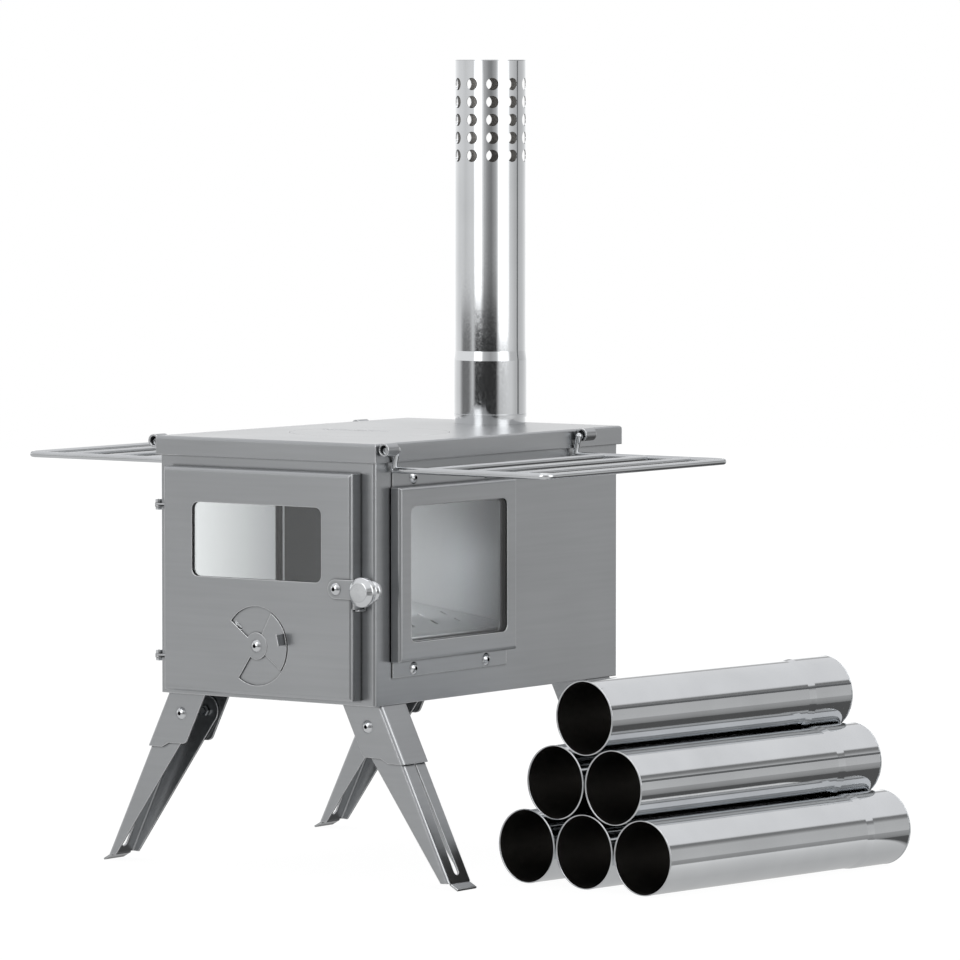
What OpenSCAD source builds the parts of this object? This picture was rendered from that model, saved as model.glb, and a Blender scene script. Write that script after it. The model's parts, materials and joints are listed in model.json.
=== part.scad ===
// Portable tent wood stove in stainless steel sheet, with its folding legs, side racks,
// glazed door and windows, air vent, hot plate, chimney section and six spare chimney sections.
// Millimetres. The origin is on the floor under the middle of the firebox.
// X runs to the right as the user faces the door, Y runs from the door to the back, Z is up.

/* [Firebox] */
// Width of the firebox
body_w = 220; // [180:1:300]
// Depth of the firebox, from the door side to the back
body_d = 342; // [300:1:480]
// Height of the firebox, from its floor to the underside of the lid
body_h = 210.5; // [200:0.5:300]
// Thickness of the firebox sheet
sheet = 1; // [0.6:0.1:1.6]
// Outside radius of the firebox's upright bends
body_bend_r = 3; // [2:0.5:6]
// Height of the firebox floor above the ground, with the legs out
stand_h = 145; // [120:1:200]

/* [Lid] */
// How far the lid's rim stands out past the firebox walls
lid_overhang = 2.5; // [2.5:0.1:5]
// Depth of the lid's folded rim
lid_rim_h = 15.5; // [12:0.5:25]
// Outside radius of the lid's bend
lid_bend_r = 2.5; // [1.5:0.1:2.5]
// Radius of the round hot plate
plate_r = 66; // [50:1:75]
// Distance from the front of the firebox to the middle of the hot plate
plate_y = 140; // [90:1:160]
// Width of the ledge under the rim of the hot plate
plate_ledge = 6; // [4:0.5:10]
// Running gap round the hot plate
plate_gap = 0.6; // [0.4:0.1:1.5]
// Length of the lifter slot in the hot plate
lifter_slot_l = 62; // [40:1:70]
// Width of the lifter slot
lifter_slot_w = 9; // [5:0.5:12]

/* [Chimney] */
// Outside radius of a chimney section
flue_r = 30; // [25:0.5:36]
// Length of a chimney section
flue_l = 300; // [220:1:400]
// Thickness of the chimney sheet
flue_wall = 0.6; // [0.4:0.1:1]
// Depth of the widened socket at a section's end
socket_l = 46; // [30:1:60]
// Length of the cone between the tube and its socket
socket_cone_l = 8; // [4:0.5:14]
// Radial gap between a tube and the socket over it
socket_gap = 0.3; // [0.2:0.05:0.6]
// Distance from the back of the firebox to the middle of the chimney
flue_back = 31; // [31:1:60]
// Height of the collar that shows under the socket
collar_show_h = 8; // [4:0.5:14]
// Radius of a smoke hole near the top of the perforated section
smoke_hole_r = 5.2; // [3:0.1:6]
// Distance between the rows of smoke holes
smoke_row_pitch = 15.1; // [13:0.1:20]
// Distance from the top edge to the first row of smoke holes
smoke_row_top = 20.5; // [12:0.5:30]
// Number of rows of smoke holes
smoke_rows = 5; // [1:1:7]
// Number of smoke holes round the tube
smoke_columns = 10; // [4:1:10]
// Angle between the columns of smoke holes, in degrees
smoke_turn = 35; // [30:0.5:36]
// Direction of the first column of smoke holes, in degrees from the X axis
smoke_from = 99; // [0:1:359]

/* [Spare chimney sections] */
// Turn of the stack against the depth of the stove, in degrees
stack_turn = 6.8; // [0:0.1:12]
// Distance from the middle plane of the stove to the middle of the stack's front end
stack_x = 260; // [250:1:340]
// Distance of the stack's front end behind the front of the firebox
stack_y = 78; // [70:1:110]
// Gap between neighbouring sockets in the stack
stack_gap = 0.3; // [0.2:0.1:1]

/* [Door] */
// Width of the frame that shows beside the door
door_side = 13.7; // [13:0.1:25]
// Height of the frame that shows over the door
door_over = 23.1; // [20:0.1:40]
// Height of the door's lower edge above the firebox floor
door_lift = 4.3; // [4:0.1:12]
// Depth of the door's folded edge
door_depth = 13.7; // [10:0.1:18]
// Outside radius of the door's bends
door_bend_r = 3; // [2:0.5:5]
// How far the door laps over the frame round its opening
door_lap = 12; // [8:0.5:20]
// Width of the door left and right of its window
door_win_side = 30.1; // [26:0.1:45]
// Height of the door over its window
door_win_over = 28; // [24:0.5:40]
// Height of the window's lower edge above the door's lower edge
door_win_lift = 94.5; // [91:0.1:110]
// Corner radius of all the window openings
window_corner_r = 6; // [3:0.5:10]
// Thickness of the heat-proof glass
glass_t = 4; // [3:0.1:4.4]
// Width of glass that the frame holds on each side
glass_hold = 6; // [4:0.5:8]

/* [Air vent] */
// Radius of the vent opening
vent_r = 32.3; // [25:0.5:34]
// Radius of the hub in the middle of the vent
vent_hub_r = 11; // [9:0.5:14]
// Height of the middle of the vent above the firebox floor
vent_z = 44.6; // [42:0.1:48]
// Gap between the damper's raised sector and the rim of the opening
vent_rim_gap = 1.3; // [0.5:0.1:1.5]
// How far the damper disc reaches behind the rim
damper_lap = 2.5; // [1.5:0.5:3]
// Length of the damper's finger tab
damper_tab_l = 10.5; // [8:0.5:18]
// Width of the damper's finger tab
damper_tab_w = 9.5; // [6:0.5:14]

/* [Latch] */
// Distance of the latch pivot inside the door's right edge
latch_in = 14.6; // [12:0.1:18]
// Distance of the latch pivot below half the door's height
latch_drop = 1.2; // [0:0.1:8]
// Length of the latch arm, from its pivot to the middle of the knob
latch_l = 38; // [36:0.5:50]
// Width of the latch arm
latch_w = 15.6; // [12:0.1:18]
// Thickness of the latch arm
latch_t = 1.5; // [1:0.1:2.5]
// Radius of the knob's ring
knob_r = 12.2; // [9:0.1:14]
// Length of the knob
knob_l = 20; // [15:0.5:26]

/* [Hinges] */
// Distance of the hinge axis inside the firebox's left edge
hinge_in = 4; // [3.5:0.5:6]
// Distance of the hinge axis in front of the firebox
hinge_out = 7; // [6:0.5:9]
// Distance of the upper hinge below the door's upper edge
hinge_top_in = 32.4; // [24:0.1:50]
// Distance of the lower hinge above the door's lower edge
hinge_low_in = 26.7; // [20:0.1:40]
// Radius of the hinge screw's shank
hinge_pin_r = 1.5; // [1.2:0.1:2]

/* [Side windows] */
// Width of the window frame, along the depth of the stove
frame_w = 161; // [150:1:175]
// Width of the frame round the window opening, front and back
frame_side = 14; // [10:0.5:20]
// Width of the frame over and under the window opening
frame_rail = 15.5; // [10:0.5:20]
// Depth of the window frame's folded edge
frame_depth = 9.8; // [8.5:0.1:14]
// How far the frame stands past the mounting plate, front and back
frame_past = 2; // [0.5:0.5:4]
// Height of the mounting plate that shows over and under the frame
plate_show = 13; // [12.5:0.5:20]
// Distance from the lid down to the mounting plate
plate_under_lid = 22; // [20:0.5:30]
// Distance from the firebox floor up to the mounting plate
plate_over_floor = 21.5; // [18:0.5:30]
// Distance from the front of the firebox to the middle of the side windows
side_win_y = 101; // [98:1:120]
// Distance between the mounting screws along the depth of the stove
plate_screw_dy = 100; // [80:1:130]
// Distance of the mounting screws from the plate's upper and lower edges
plate_screw_in = 6.2; // [5.8:0.1:6.8]

/* [Side racks] */
// Radius of the rack wire
wire_r = 2.6; // [2:0.1:3]
// Reach of a rack, from its pivot to its outer rail
rack_reach = 148; // [110:1:180]
// Distance from the front of the firebox to the rack's front arm
rack_front_y = 20; // [20:1:40]
// Distance from the front of the firebox to the rack's rear arm
rack_rear_y = 274; // [200:1:276]
// How far the rack hangs below its pivot
rack_drop = 16; // [14:0.5:24]
// Distance from the rack's outer rail to the nearest long wire
rack_first_gap = 36; // [20:1:44]
// Distance between the rack's long wires
rack_pitch = 43.5; // [20:0.5:44]
// Radius of the rack's outer corners
rack_corner_r = 7; // [5:0.5:14]
// Outside radius of a pivot barrel
barrel_r = 5.3; // [5:0.1:7]
// Bore radius of a pivot barrel
barrel_bore_r = 3.8; // [3.4:0.1:4.2]
// Length of a pivot barrel
barrel_l = 14.5; // [10:0.5:15]

/* [Legs] */
// Lean of the legs from upright, in degrees
leg_lean = 26; // [20:0.5:30]
// Distance of the pivot inside the firebox's side wall
pivot_in = 14.3; // [12:0.1:18]
// Distance of the pivot below the firebox floor
pivot_drop = 17.4; // [16.5:0.1:22]
// Distance from the pivot to the outside of the bracket's web
bracket_out = 20; // [18:0.5:21]
// Distance from the pivot to the bracket's open edge
bracket_in = 15; // [12:0.5:18]
// Depth of a bracket along the stove
bracket_w = 35.5; // [30:0.5:45]
// Thickness of the bracket and leg sheet
leg_sheet = 1.5; // [1:0.1:2]
// Distance of a bracket from the firebox's front or back
bracket_inset = 8.8; // [6:0.1:20]
// Drop of the bracket's lower corner below the pivot
bracket_low = 28.8; // [26:0.1:36]
// Running gap between a leg and its bracket
leg_gap = 0.5; // [0.3:0.1:0.8]
// Width of a leg's flange at its foot
leg_foot_w = 7.3; // [6:0.1:12]
// Length of the turned-out lip under a leg
foot_lip_l = 8; // [5:0.5:12]
// Outside radius of the bends of a leg
leg_bend_r = 3; // [2:0.1:5]
// Radius of the bracket's lower inner corner
bracket_corner_r = 6; // [3:0.5:10]
// Turn of the lip away from the leg, in degrees
foot_lip_turn = 35; // [20:1:45]
// Radius of the pivot screw's shank
pivot_screw_r = 2.5; // [2:0.1:3]

/* [Grate] */
// Height of the grate's middle above the firebox floor
grate_z = 37; // [30:1:42]
// Slope of the grate's wings, in degrees
grate_slope = 7; // [4:0.5:10]
// Thickness of the grate
grate_t = 1.5; // [1:0.1:3]
// Length of a grate slot
grate_slot_l = 17; // [12:0.5:22]
// Width of a grate slot
grate_slot_w = 3.2; // [2:0.1:4]
// Distance between the grate slots along the stove
grate_pitch = 33; // [28:1:44]

/* [Hidden] */
$fn = 64;

// One overrun for every cut, and the common clearances
cut = 1;
seat_gap = 0.3;
bore_gap = 0.1;

// Door, windows and mounting plates, inside the firebox's walls
door_w = body_w - 2*door_side;
door_h = body_h - door_lift - door_over;
door_win_w = door_w - 2*door_win_side;
door_win_h = door_h - door_win_over - door_win_lift;
door_win_z = door_lift + door_win_lift + door_win_h/2;
latch_x = door_w/2 - latch_in;
latch_z = door_lift + door_h/2 - latch_drop;
hinge_top_z = door_lift + door_h - hinge_top_in;
hinge_low_z = door_lift + hinge_low_in;
mount_plate_h = body_h - plate_under_lid - plate_over_floor;
mount_plate_w = frame_w - 2*frame_past;
frame_h = mount_plate_h - 2*plate_show;
side_win_w = frame_w - 2*frame_side;
side_win_h = frame_h - 2*frame_rail;
side_win_z = plate_over_floor + mount_plate_h/2;
plate_screw_dz = mount_plate_h - 2*plate_screw_in;

// Planes and axes that several pieces share
front_y = -body_d/2;
back_y = body_d/2;
floor_z = stand_h;
lid_under_z = floor_z + body_h;
lid_top_z = lid_under_z + sheet;
plate_cy = front_y + plate_y;
flue_cy = back_y - flue_back;
socket_r = flue_r + socket_gap + flue_wall;
door_front_y = front_y - door_depth;
opening_w = door_w - 2*door_lap;
opening_h = door_h - 2*door_lap;
opening_z = floor_z + door_lift + door_lap;
hinge_x = -body_w/2 + hinge_in;
hinge_y = front_y - hinge_out;
vent_cz = floor_z + vent_z;
latch_cz = floor_z + latch_z;
latch_back_y = door_front_y - bore_gap*2;
latch_front_y = latch_back_y - latch_t;
side_cy = front_y + side_win_y;
side_cz = floor_z + side_win_z;
rim_x = body_w/2 + lid_overhang;
barrel_x = rim_x + barrel_r;
barrel_z = lid_top_z - barrel_r + wire_r/4;
rack_axis_x = barrel_x;
rack_axis_z = barrel_z - (barrel_bore_r - wire_r - seat_gap);
pivot_x = body_w/2 - pivot_in;
pivot_z = stand_h - pivot_drop;
bracket_mid_y = body_d/2 - bracket_inset - bracket_w/2;
leg_web_out = bracket_out - leg_sheet - leg_gap;
leg_w = bracket_w - 2*leg_sheet - 2*leg_gap;

// Colours of the metals, the glass and the gasket
satin = "#8f9193";
mirror_steel = "#c9cbcd";
clear_glass = [0.75, 0.8, 0.82, 0.35];
dark_gasket = "#232323";

// A tube wall between two radii
module ring(r_out, r_in, h) {
    difference() {
        cylinder(h = h, r = r_out);
        translate([0, 0, -cut]) cylinder(h = h + 2*cut, r = r_in);
    }
}

// A rectangle with round corners, centred
module round_rect(w, h, r) {
    square([w - 2*r, h], center = true);
    square([w, h - 2*r], center = true);
    for (x = [-1, 1], y = [-1, 1]) translate([x*(w/2 - r), y*(h/2 - r)]) circle(r);
}

// The outline of a folded sheet: square below, with two round top corners
module arch(w, h, r) {
    translate([-w/2, 0]) square([w, h - r]);
    translate([-w/2 + r, 0]) square([w - 2*r, h]);
    for (x = [-1, 1]) translate([x*(w/2 - r), h - r]) circle(r);
}

// A block with its top edges rounded and mitred at the corners, as folded sheet has them
module folded_block(w, d, h, r) {
    intersection() {
        rotate([90, 0, 0]) linear_extrude(d, center = true) arch(w, h, r);
        rotate([90, 0, 90]) linear_extrude(w, center = true) arch(d, h, r);
    }
}

// A tray of folded sheet, its open side down at z = 0
module folded_tray(w, d, h, r, t) {
    difference() {
        folded_block(w, d, h, r);
        translate([0, 0, -cut]) folded_block(w - 2*t, d - 2*t, h - t + cut, max(r - t, t/2));
    }
}

// A round bar between two points
module bar(a, b, r) {
    v = b - a;
    l = norm(v);
    translate(a) rotate([0, acos(v[2]/l), atan2(v[1], v[0])]) cylinder(h = l, r = r);
}

// A sector of a disc between two angles, as a flat outline
module sector(r, from, to) {
    steps = ceil((to - from)/30);
    points = [for (i = [0:steps]) 2*r*[cos(from + (to - from)*i/steps), sin(from + (to - from)*i/steps)]];
    intersection() {
        circle(r);
        polygon(concat([[0, 0]], points));
    }
}

// Moves flat work on the XY plane to the plane of the door: X stays, Y becomes up, Z comes forward
module on_door(x, y, z) {
    translate([x, y, z]) rotate([90, 0, 0]) children();
}

// Moves flat work to a side wall: X runs along the stove, Y up, Z out of the wall
module on_side(side, out) {
    mirror([side < 0 ? 1 : 0, 0, 0])
        translate([body_w/2 + out, side_cy, side_cz]) rotate([90, 0, 90]) children();
}

// A button-head screw with a socket, its head above z = 0 and its shank below
module button_screw(shank_r, shank_l) {
    head_r = 2.1*shank_r;
    head_h = 1.1*shank_r;
    dome_r = (head_r*head_r + head_h*head_h)/(2*head_h);
    difference() {
        intersection() {
            translate([0, 0, head_h - dome_r]) sphere(dome_r);
            cylinder(h = head_h, r = head_r);
        }
        translate([0, 0, head_h/3]) cylinder(h = head_h, r = shank_r*0.7, $fn = 6);
    }
    translate([0, 0, -shank_l]) cylinder(h = shank_l + head_h/4, r = shank_r);
}

// A hexagon nut on a shank, from z = 0 up
module nut(shank_r, h) {
    difference() {
        cylinder(h = h, r = 1.85*shank_r, $fn = 6);
        translate([0, 0, -cut]) cylinder(h = h + 2*cut, r = shank_r + bore_gap/2);
    }
}

// Firebox: floor, side walls, back and front frame, open at the top under the lid
module firebox() {
    color(satin) difference() {
        translate([0, 0, floor_z]) linear_extrude(body_h) round_rect(body_w, body_d, body_bend_r);
        translate([0, 0, floor_z + sheet]) linear_extrude(body_h)
            round_rect(body_w - 2*sheet, body_d - 2*sheet, max(body_bend_r - sheet, sheet));
        on_door(0, front_y + 2*sheet, opening_z + opening_h/2)
            linear_extrude(3*sheet) round_rect(opening_w, opening_h, window_corner_r);
        for (side = [-1, 1]) on_side(side, -2*sheet) {
            linear_extrude(3*sheet) round_rect(side_win_w, side_win_h, window_corner_r);
            for (x = [-1, 1], y = [-1, 1])
                translate([x*plate_screw_dy/2, y*plate_screw_dz/2, 0])
                    cylinder(h = 3*sheet, r = plate_screw_r + bore_gap/2);
        }
    }
}

// Lid: a shallow folded tray upside down over the firebox, with the holes for plate and chimney
module lid() {
    color(satin) difference() {
        translate([0, 0, lid_top_z - lid_rim_h])
            folded_tray(2*rim_x, body_d + 2*lid_overhang, lid_rim_h, lid_bend_r, sheet);
        translate([0, plate_cy, lid_under_z - cut]) cylinder(h = sheet + 2*cut, r = plate_r + plate_gap);
        translate([0, flue_cy, lid_under_z - cut]) cylinder(h = sheet + 2*cut, r = flue_r - flue_wall);
    }
}

// Ledge: a flat ring welded under the lid, which carries the rim of the hot plate
module hot_plate_ledge() {
    color(satin) translate([0, plate_cy, lid_under_z - sheet])
        ring(plate_r + plate_ledge, plate_r - plate_ledge, sheet);
}

// Hot plate: a loose disc flush with the lid, with a slot for the lifter
lifter_turn = 10;
lifter_at_share = [-0.39, 0.24];
module hot_plate() {
    color(satin) difference() {
        translate([0, plate_cy, lid_under_z]) cylinder(h = sheet, r = plate_r);
        translate([plate_r*lifter_at_share[0], plate_cy + plate_r*lifter_at_share[1], lid_under_z - cut])
            rotate(lifter_turn) linear_extrude(sheet + 2*cut)
                round_rect(lifter_slot_l, lifter_slot_w, lifter_slot_w*0.45);
    }
}

// Chimney collar: a tube welded on the lid, with a bead that the socket stands on
bead_h = 2;
module flue_collar() {
    collar_h = collar_show_h + socket_l/2;
    color(mirror_steel) translate([0, flue_cy, lid_top_z]) difference() {
        union() {
            cylinder(h = collar_h, r = flue_r);
            translate([0, 0, collar_show_h - bead_h]) cylinder(h = bead_h, r = socket_r);
        }
        translate([0, 0, -cut]) cylinder(h = collar_h + 2*cut, r = flue_r - flue_wall);
    }
}

// A chimney section standing on its socket end: socket, cone and plain tube
module flue_section() {
    cone_top = socket_l + socket_cone_l;
    rotate_extrude($fn = 96) polygon([
        [socket_r - flue_wall, 0], [socket_r, 0], [socket_r, socket_l], [flue_r, cone_top],
        [flue_r, flue_l], [flue_r - flue_wall, flue_l], [flue_r - flue_wall, cone_top],
        [socket_r - flue_wall, socket_l]]);
}

// Perforated top section: rows of smoke holes round the tube, each drilled from inside
module flue_perforated() {
    color(mirror_steel) translate([0, flue_cy, lid_top_z + collar_show_h]) difference() {
        flue_section();
        for (row = [0:smoke_rows - 1], column = [0:smoke_columns - 1])
            translate([0, 0, flue_l - smoke_row_top - row*smoke_row_pitch])
                rotate([0, 90, smoke_from + column*smoke_turn]) translate([0, 0, flue_r/2])
                    cylinder(h = flue_r/2 + cut, r = smoke_hole_r, $fn = 32);
    }
}

// Spare sections: a stack of three, two and one, lying on their sockets with the plain ends in front
stack_pitch = 2*socket_r + stack_gap;
function stack_row(i) = i < 3 ? 0 : i < 5 ? 1 : 2;
function stack_place(i) = i < 3 ? i : i < 5 ? i - 3 : 0;
function stack_shift(i) = (stack_place(i) + stack_row(i)/2 - 1)*stack_pitch;
function stack_height(i) = socket_r + stack_row(i)*stack_pitch*sin(60);
module spare_flue(i) {
    color(mirror_steel) translate([stack_x, front_y + stack_y, 0]) rotate(-stack_turn)
        translate([stack_shift(i), flue_l, stack_height(i)]) rotate([90, 0, 0]) flue_section();
}

// Door: a folded tray with a window, the vent opening and two ears for the hinge screws
vent_open_from = -124;
vent_open_to = 143;
ear_t = 1.5;
ear_gap = 0.1;
ear_wall = 1.7;
ear_r = hinge_pin_r + ear_wall;
module door() {
    color(satin) {
        difference() {
            on_door(0, front_y, floor_z + door_lift + door_h/2)
                folded_tray(door_w, door_h, door_depth, door_bend_r, sheet);
            on_door(0, door_front_y + 2*sheet, floor_z + door_win_z)
                linear_extrude(3*sheet) round_rect(door_win_w, door_win_h, window_corner_r);
            on_door(0, door_front_y + 2*sheet, vent_cz) linear_extrude(3*sheet) difference() {
                sector(vent_r, vent_open_from, vent_open_to);
                circle(vent_hub_r);
            }
            on_door(0, door_front_y + 2*sheet, vent_cz) cylinder(h = 3*sheet, r = damper_pin_r + bore_gap/2);
            on_door(latch_x, door_front_y + 2*sheet, latch_cz)
                cylinder(h = 3*sheet, r = latch_pin_r + bore_gap/2);
        }
        for (z = [hinge_low_z, hinge_top_z]) translate([0, hinge_y, floor_z + z + ear_gap]) difference() {
            union() {
                translate([hinge_x, 0, 0]) cylinder(h = ear_t, r = ear_r);
                translate([hinge_x, -ear_r, 0]) cube([-door_w/2 + sheet/2 - hinge_x, 2*ear_r, ear_t]);
            }
            translate([hinge_x, 0, -cut]) cylinder(h = ear_t + 2*cut, r = hinge_pin_r + bore_gap);
        }
    }
}

// Glass of the door's window, against the back of the door sheet
module door_glass() {
    color(clear_glass) on_door(0, door_front_y + sheet + glass_t, floor_z + door_win_z)
        linear_extrude(glass_t)
            square([door_win_w + 2*glass_hold, door_win_h + 2*glass_hold], center = true);
}

// Retainer: a folded frame that clamps the glass to the back of the door
module door_glass_retainer() {
    w = door_win_w + 2*glass_hold + 2*seat_gap + 2*sheet;
    h = door_win_h + 2*glass_hold + 2*seat_gap + 2*sheet;
    color(satin) on_door(0, door_front_y + sheet, floor_z + door_win_z) rotate([180, 0, 0]) difference() {
        folded_tray(w, h, glass_t + sheet, sheet, sheet);
        linear_extrude(3*glass_t) round_rect(door_win_w, door_win_h, window_corner_r);
    }
}

// Damper: a disc behind the door, with a raised sector flush with the door and a finger tab
damper_gap = 0.2;
hub_gap = 0.3;
damper_pin_r = 2.5;
raised_from = -38;
raised_to = 61;
air_cut_r = 20;
air_cut_from = 137;
air_cut_to = 222;
tab_at = 13;
module air_damper() {
    back = sheet + damper_gap + sheet;
    rim_r = vent_r - vent_rim_gap;
    color(satin) on_door(0, door_front_y + back, vent_cz) difference() {
        union() {
            linear_extrude(sheet) difference() {
                circle(vent_r + damper_lap);
                difference() {
                    sector(vent_r - damper_lap, air_cut_from, air_cut_to);
                    circle(air_cut_r);
                }
            }
            linear_extrude(back) difference() {
                sector(rim_r, raised_from, raised_to);
                circle(vent_hub_r + hub_gap);
            }
            rotate(tab_at) translate([rim_r - 1.6*sheet, -damper_tab_w/2, back - sheet])
                cube([sheet, damper_tab_w, damper_tab_l + sheet]);
        }
        translate([0, 0, -cut]) cylinder(h = sheet + 2*cut, r = damper_pin_r + bore_gap);
    }
}

// Damper screw: button head on the hub, shank through door and damper, nut behind
module damper_screw() {
    reach = 2*sheet + damper_gap + bore_gap;
    nut_h = 1.6*damper_pin_r/2;
    color(mirror_steel) on_door(0, door_front_y, vent_cz) {
        button_screw(damper_pin_r, reach + nut_h);
        translate([0, 0, -reach - nut_h]) cylinder(h = nut_h, r = 1.85*damper_pin_r, $fn = 6);
    }
}

// Latch arm: a strip with round ends, a knob hole and a hook tab folded back beside the door
latch_pin_r = 2.5;
hook_low = 8;
hook_clear = 2.2;
hook_x = door_w/2 + hook_clear;
hook_back_y = front_y - 2*latch_t;
hook_top_z = latch_cz - latch_w/4;
keeper_top_z = latch_cz - latch_w/2 - hook_low;
module latch_arm() {
    color(satin) {
        on_door(latch_x, latch_back_y, latch_cz) linear_extrude(latch_t) difference() {
            union() {
                circle(latch_w/2);
                translate([0, -latch_w/2]) square([latch_l, latch_w]);
                translate([latch_l, 0]) circle(latch_w/2);
            }
            circle(latch_pin_r + bore_gap);
            translate([latch_l, 0]) circle(latch_pin_r + bore_gap/2);
        }
        translate([hook_x, latch_back_y - latch_t/2, keeper_top_z])
            cube([latch_t, hook_back_y - latch_back_y + latch_t/2, hook_top_z - keeper_top_z]);
    }
}

// Knob: a turned spool with a domed front, a ring and a narrow neck
module latch_knob() {
    neck_r = knob_r*0.5;
    base_r = knob_r*0.7;
    face_r = knob_r*0.66;
    color(mirror_steel) on_door(latch_x + latch_l, latch_front_y, latch_cz) {
        rotate_extrude() polygon([
            [0, 0], [base_r, 0], [base_r, knob_l*0.12], [neck_r, knob_l*0.2], [neck_r, knob_l*0.42],
            [knob_r, knob_l*0.6], [knob_r, knob_l*0.82], [face_r, knob_l], [0, knob_l]]);
        translate([0, 0, -latch_t - sheet]) cylinder(h = latch_t + sheet, r = latch_pin_r);
        translate([0, 0, -latch_t - sheet]) cylinder(h = sheet, r = 1.9*latch_pin_r);
    }
}

// Latch screw: the pivot of the arm, through the door, with its nut behind
module latch_screw() {
    reach = latch_front_y - door_front_y - sheet;
    nut_h = 1.2*latch_pin_r;
    color(mirror_steel) on_door(latch_x, latch_front_y - damper_gap, latch_cz) {
        button_screw(latch_pin_r, nut_h - reach + damper_gap);
        translate([0, 0, reach - damper_gap - nut_h]) cylinder(h = nut_h, r = 1.85*latch_pin_r, $fn = 6);
    }
}

// Keeper: an angle on the frame right of the door, whose ledge the latch's hook tab drops onto
module latch_keeper() {
    keeper_l = door_depth*0.75;
    keeper_w = 2.4*latch_t;
    color(satin) translate([hook_x - latch_t/2, front_y, keeper_top_z - seat_gap - latch_t]) {
        translate([0, -keeper_l, 0]) cube([keeper_w, keeper_l, latch_t]);
        translate([0, -latch_t, 0]) cube([keeper_w, latch_t, latch_w]);
    }
}

// Hinge lugs: plates welded to the frame, under the door's ears
module hinge_lugs() {
    color(satin) for (z = [hinge_low_z, hinge_top_z])
        translate([hinge_x, hinge_y, floor_z + z - ear_gap - ear_t]) difference() {
            union() {
                cylinder(h = ear_t, r = ear_r);
                translate([-ear_r, 0, 0]) cube([2*ear_r, hinge_out, ear_t]);
            }
            translate([0, 0, -cut]) cylinder(h = ear_t + 2*cut, r = hinge_pin_r + bore_gap/2);
        }
}

// Hinge pins: cap screws down through ear and lug, with a nut below
module hinge_pins() {
    head_h = 2*hinge_pin_r;
    nut_h = 1.6*hinge_pin_r;
    head_r = 1.9*hinge_pin_r;
    color(mirror_steel) for (z = [hinge_low_z, hinge_top_z]) translate([hinge_x, hinge_y, floor_z + z]) {
        difference() {
            translate([0, 0, 2*ear_gap + ear_t]) cylinder(h = head_h, r = head_r);
            translate([0, 0, 2*ear_gap + ear_t + head_h/2]) cylinder(h = head_h, r = head_r*0.5, $fn = 6);
        }
        translate([0, 0, -ear_gap - ear_t - nut_h])
            cylinder(h = 3*ear_gap + 2*ear_t + nut_h + head_h/4, r = hinge_pin_r);
        translate([0, 0, -ear_gap - ear_t - nut_h]) cylinder(h = nut_h, r = 1.85*hinge_pin_r, $fn = 6);
    }
}

// Window mounting plate: screwed to the wall at its four corners
plate_screw_r = 2.5;
module window_plate(side) {
    color(satin) on_side(side, 0) linear_extrude(sheet) difference() {
        square([mount_plate_w, mount_plate_h], center = true);
        round_rect(side_win_w, side_win_h, window_corner_r);
        for (x = [-1, 1], y = [-1, 1])
            translate([x*plate_screw_dy/2, y*plate_screw_dz/2]) circle(plate_screw_r + bore_gap/2);
    }
}

// Window frame: a folded tray on the plate, which holds the glass
module window_frame(side) {
    color(satin) on_side(side, sheet) difference() {
        folded_tray(frame_w, frame_h, frame_depth, door_bend_r, sheet);
        linear_extrude(2*frame_depth) round_rect(side_win_w, side_win_h, window_corner_r);
    }
}

// Gasket: a black fibre frame that presses the glass into the tray
module window_gasket(side) {
    color(dark_gasket) on_side(side, sheet) linear_extrude(frame_depth - sheet - glass_t) difference() {
        square([side_win_w + 2*glass_hold, side_win_h + 2*glass_hold], center = true);
        round_rect(side_win_w + glass_hold/2, side_win_h + glass_hold/2, window_corner_r);
    }
}

// Side window glass
module window_glass(side) {
    color(clear_glass) on_side(side, frame_depth - glass_t) linear_extrude(glass_t)
        square([side_win_w + 2*glass_hold, side_win_h + 2*glass_hold], center = true);
}

// Window screws: four on each side, through plate and wall, with nuts inside
module window_screws() {
    nut_h = 1.6*plate_screw_r;
    color(mirror_steel) for (side = [-1, 1]) on_side(side, sheet)
        for (x = [-1, 1], y = [-1, 1]) translate([x*plate_screw_dy/2, y*plate_screw_dz/2, 0]) {
            button_screw(plate_screw_r, 2*sheet + nut_h);
            translate([0, 0, -2*sheet - nut_h]) cylinder(h = nut_h, r = 1.85*plate_screw_r, $fn = 6);
        }
}

// Rack barrels: two short tubes on each side of the lid's rim
front_barrel_y = front_y + sheet;
rear_barrel_y = front_y + rack_rear_y + wire_r + sheet;
module rack_barrels() {
    color(satin) for (side = [-1, 1], y = [front_barrel_y, rear_barrel_y])
        translate([side*barrel_x, y + barrel_l, barrel_z]) rotate([90, 0, 0])
            ring(barrel_r, barrel_bore_r, barrel_l);
}

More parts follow.
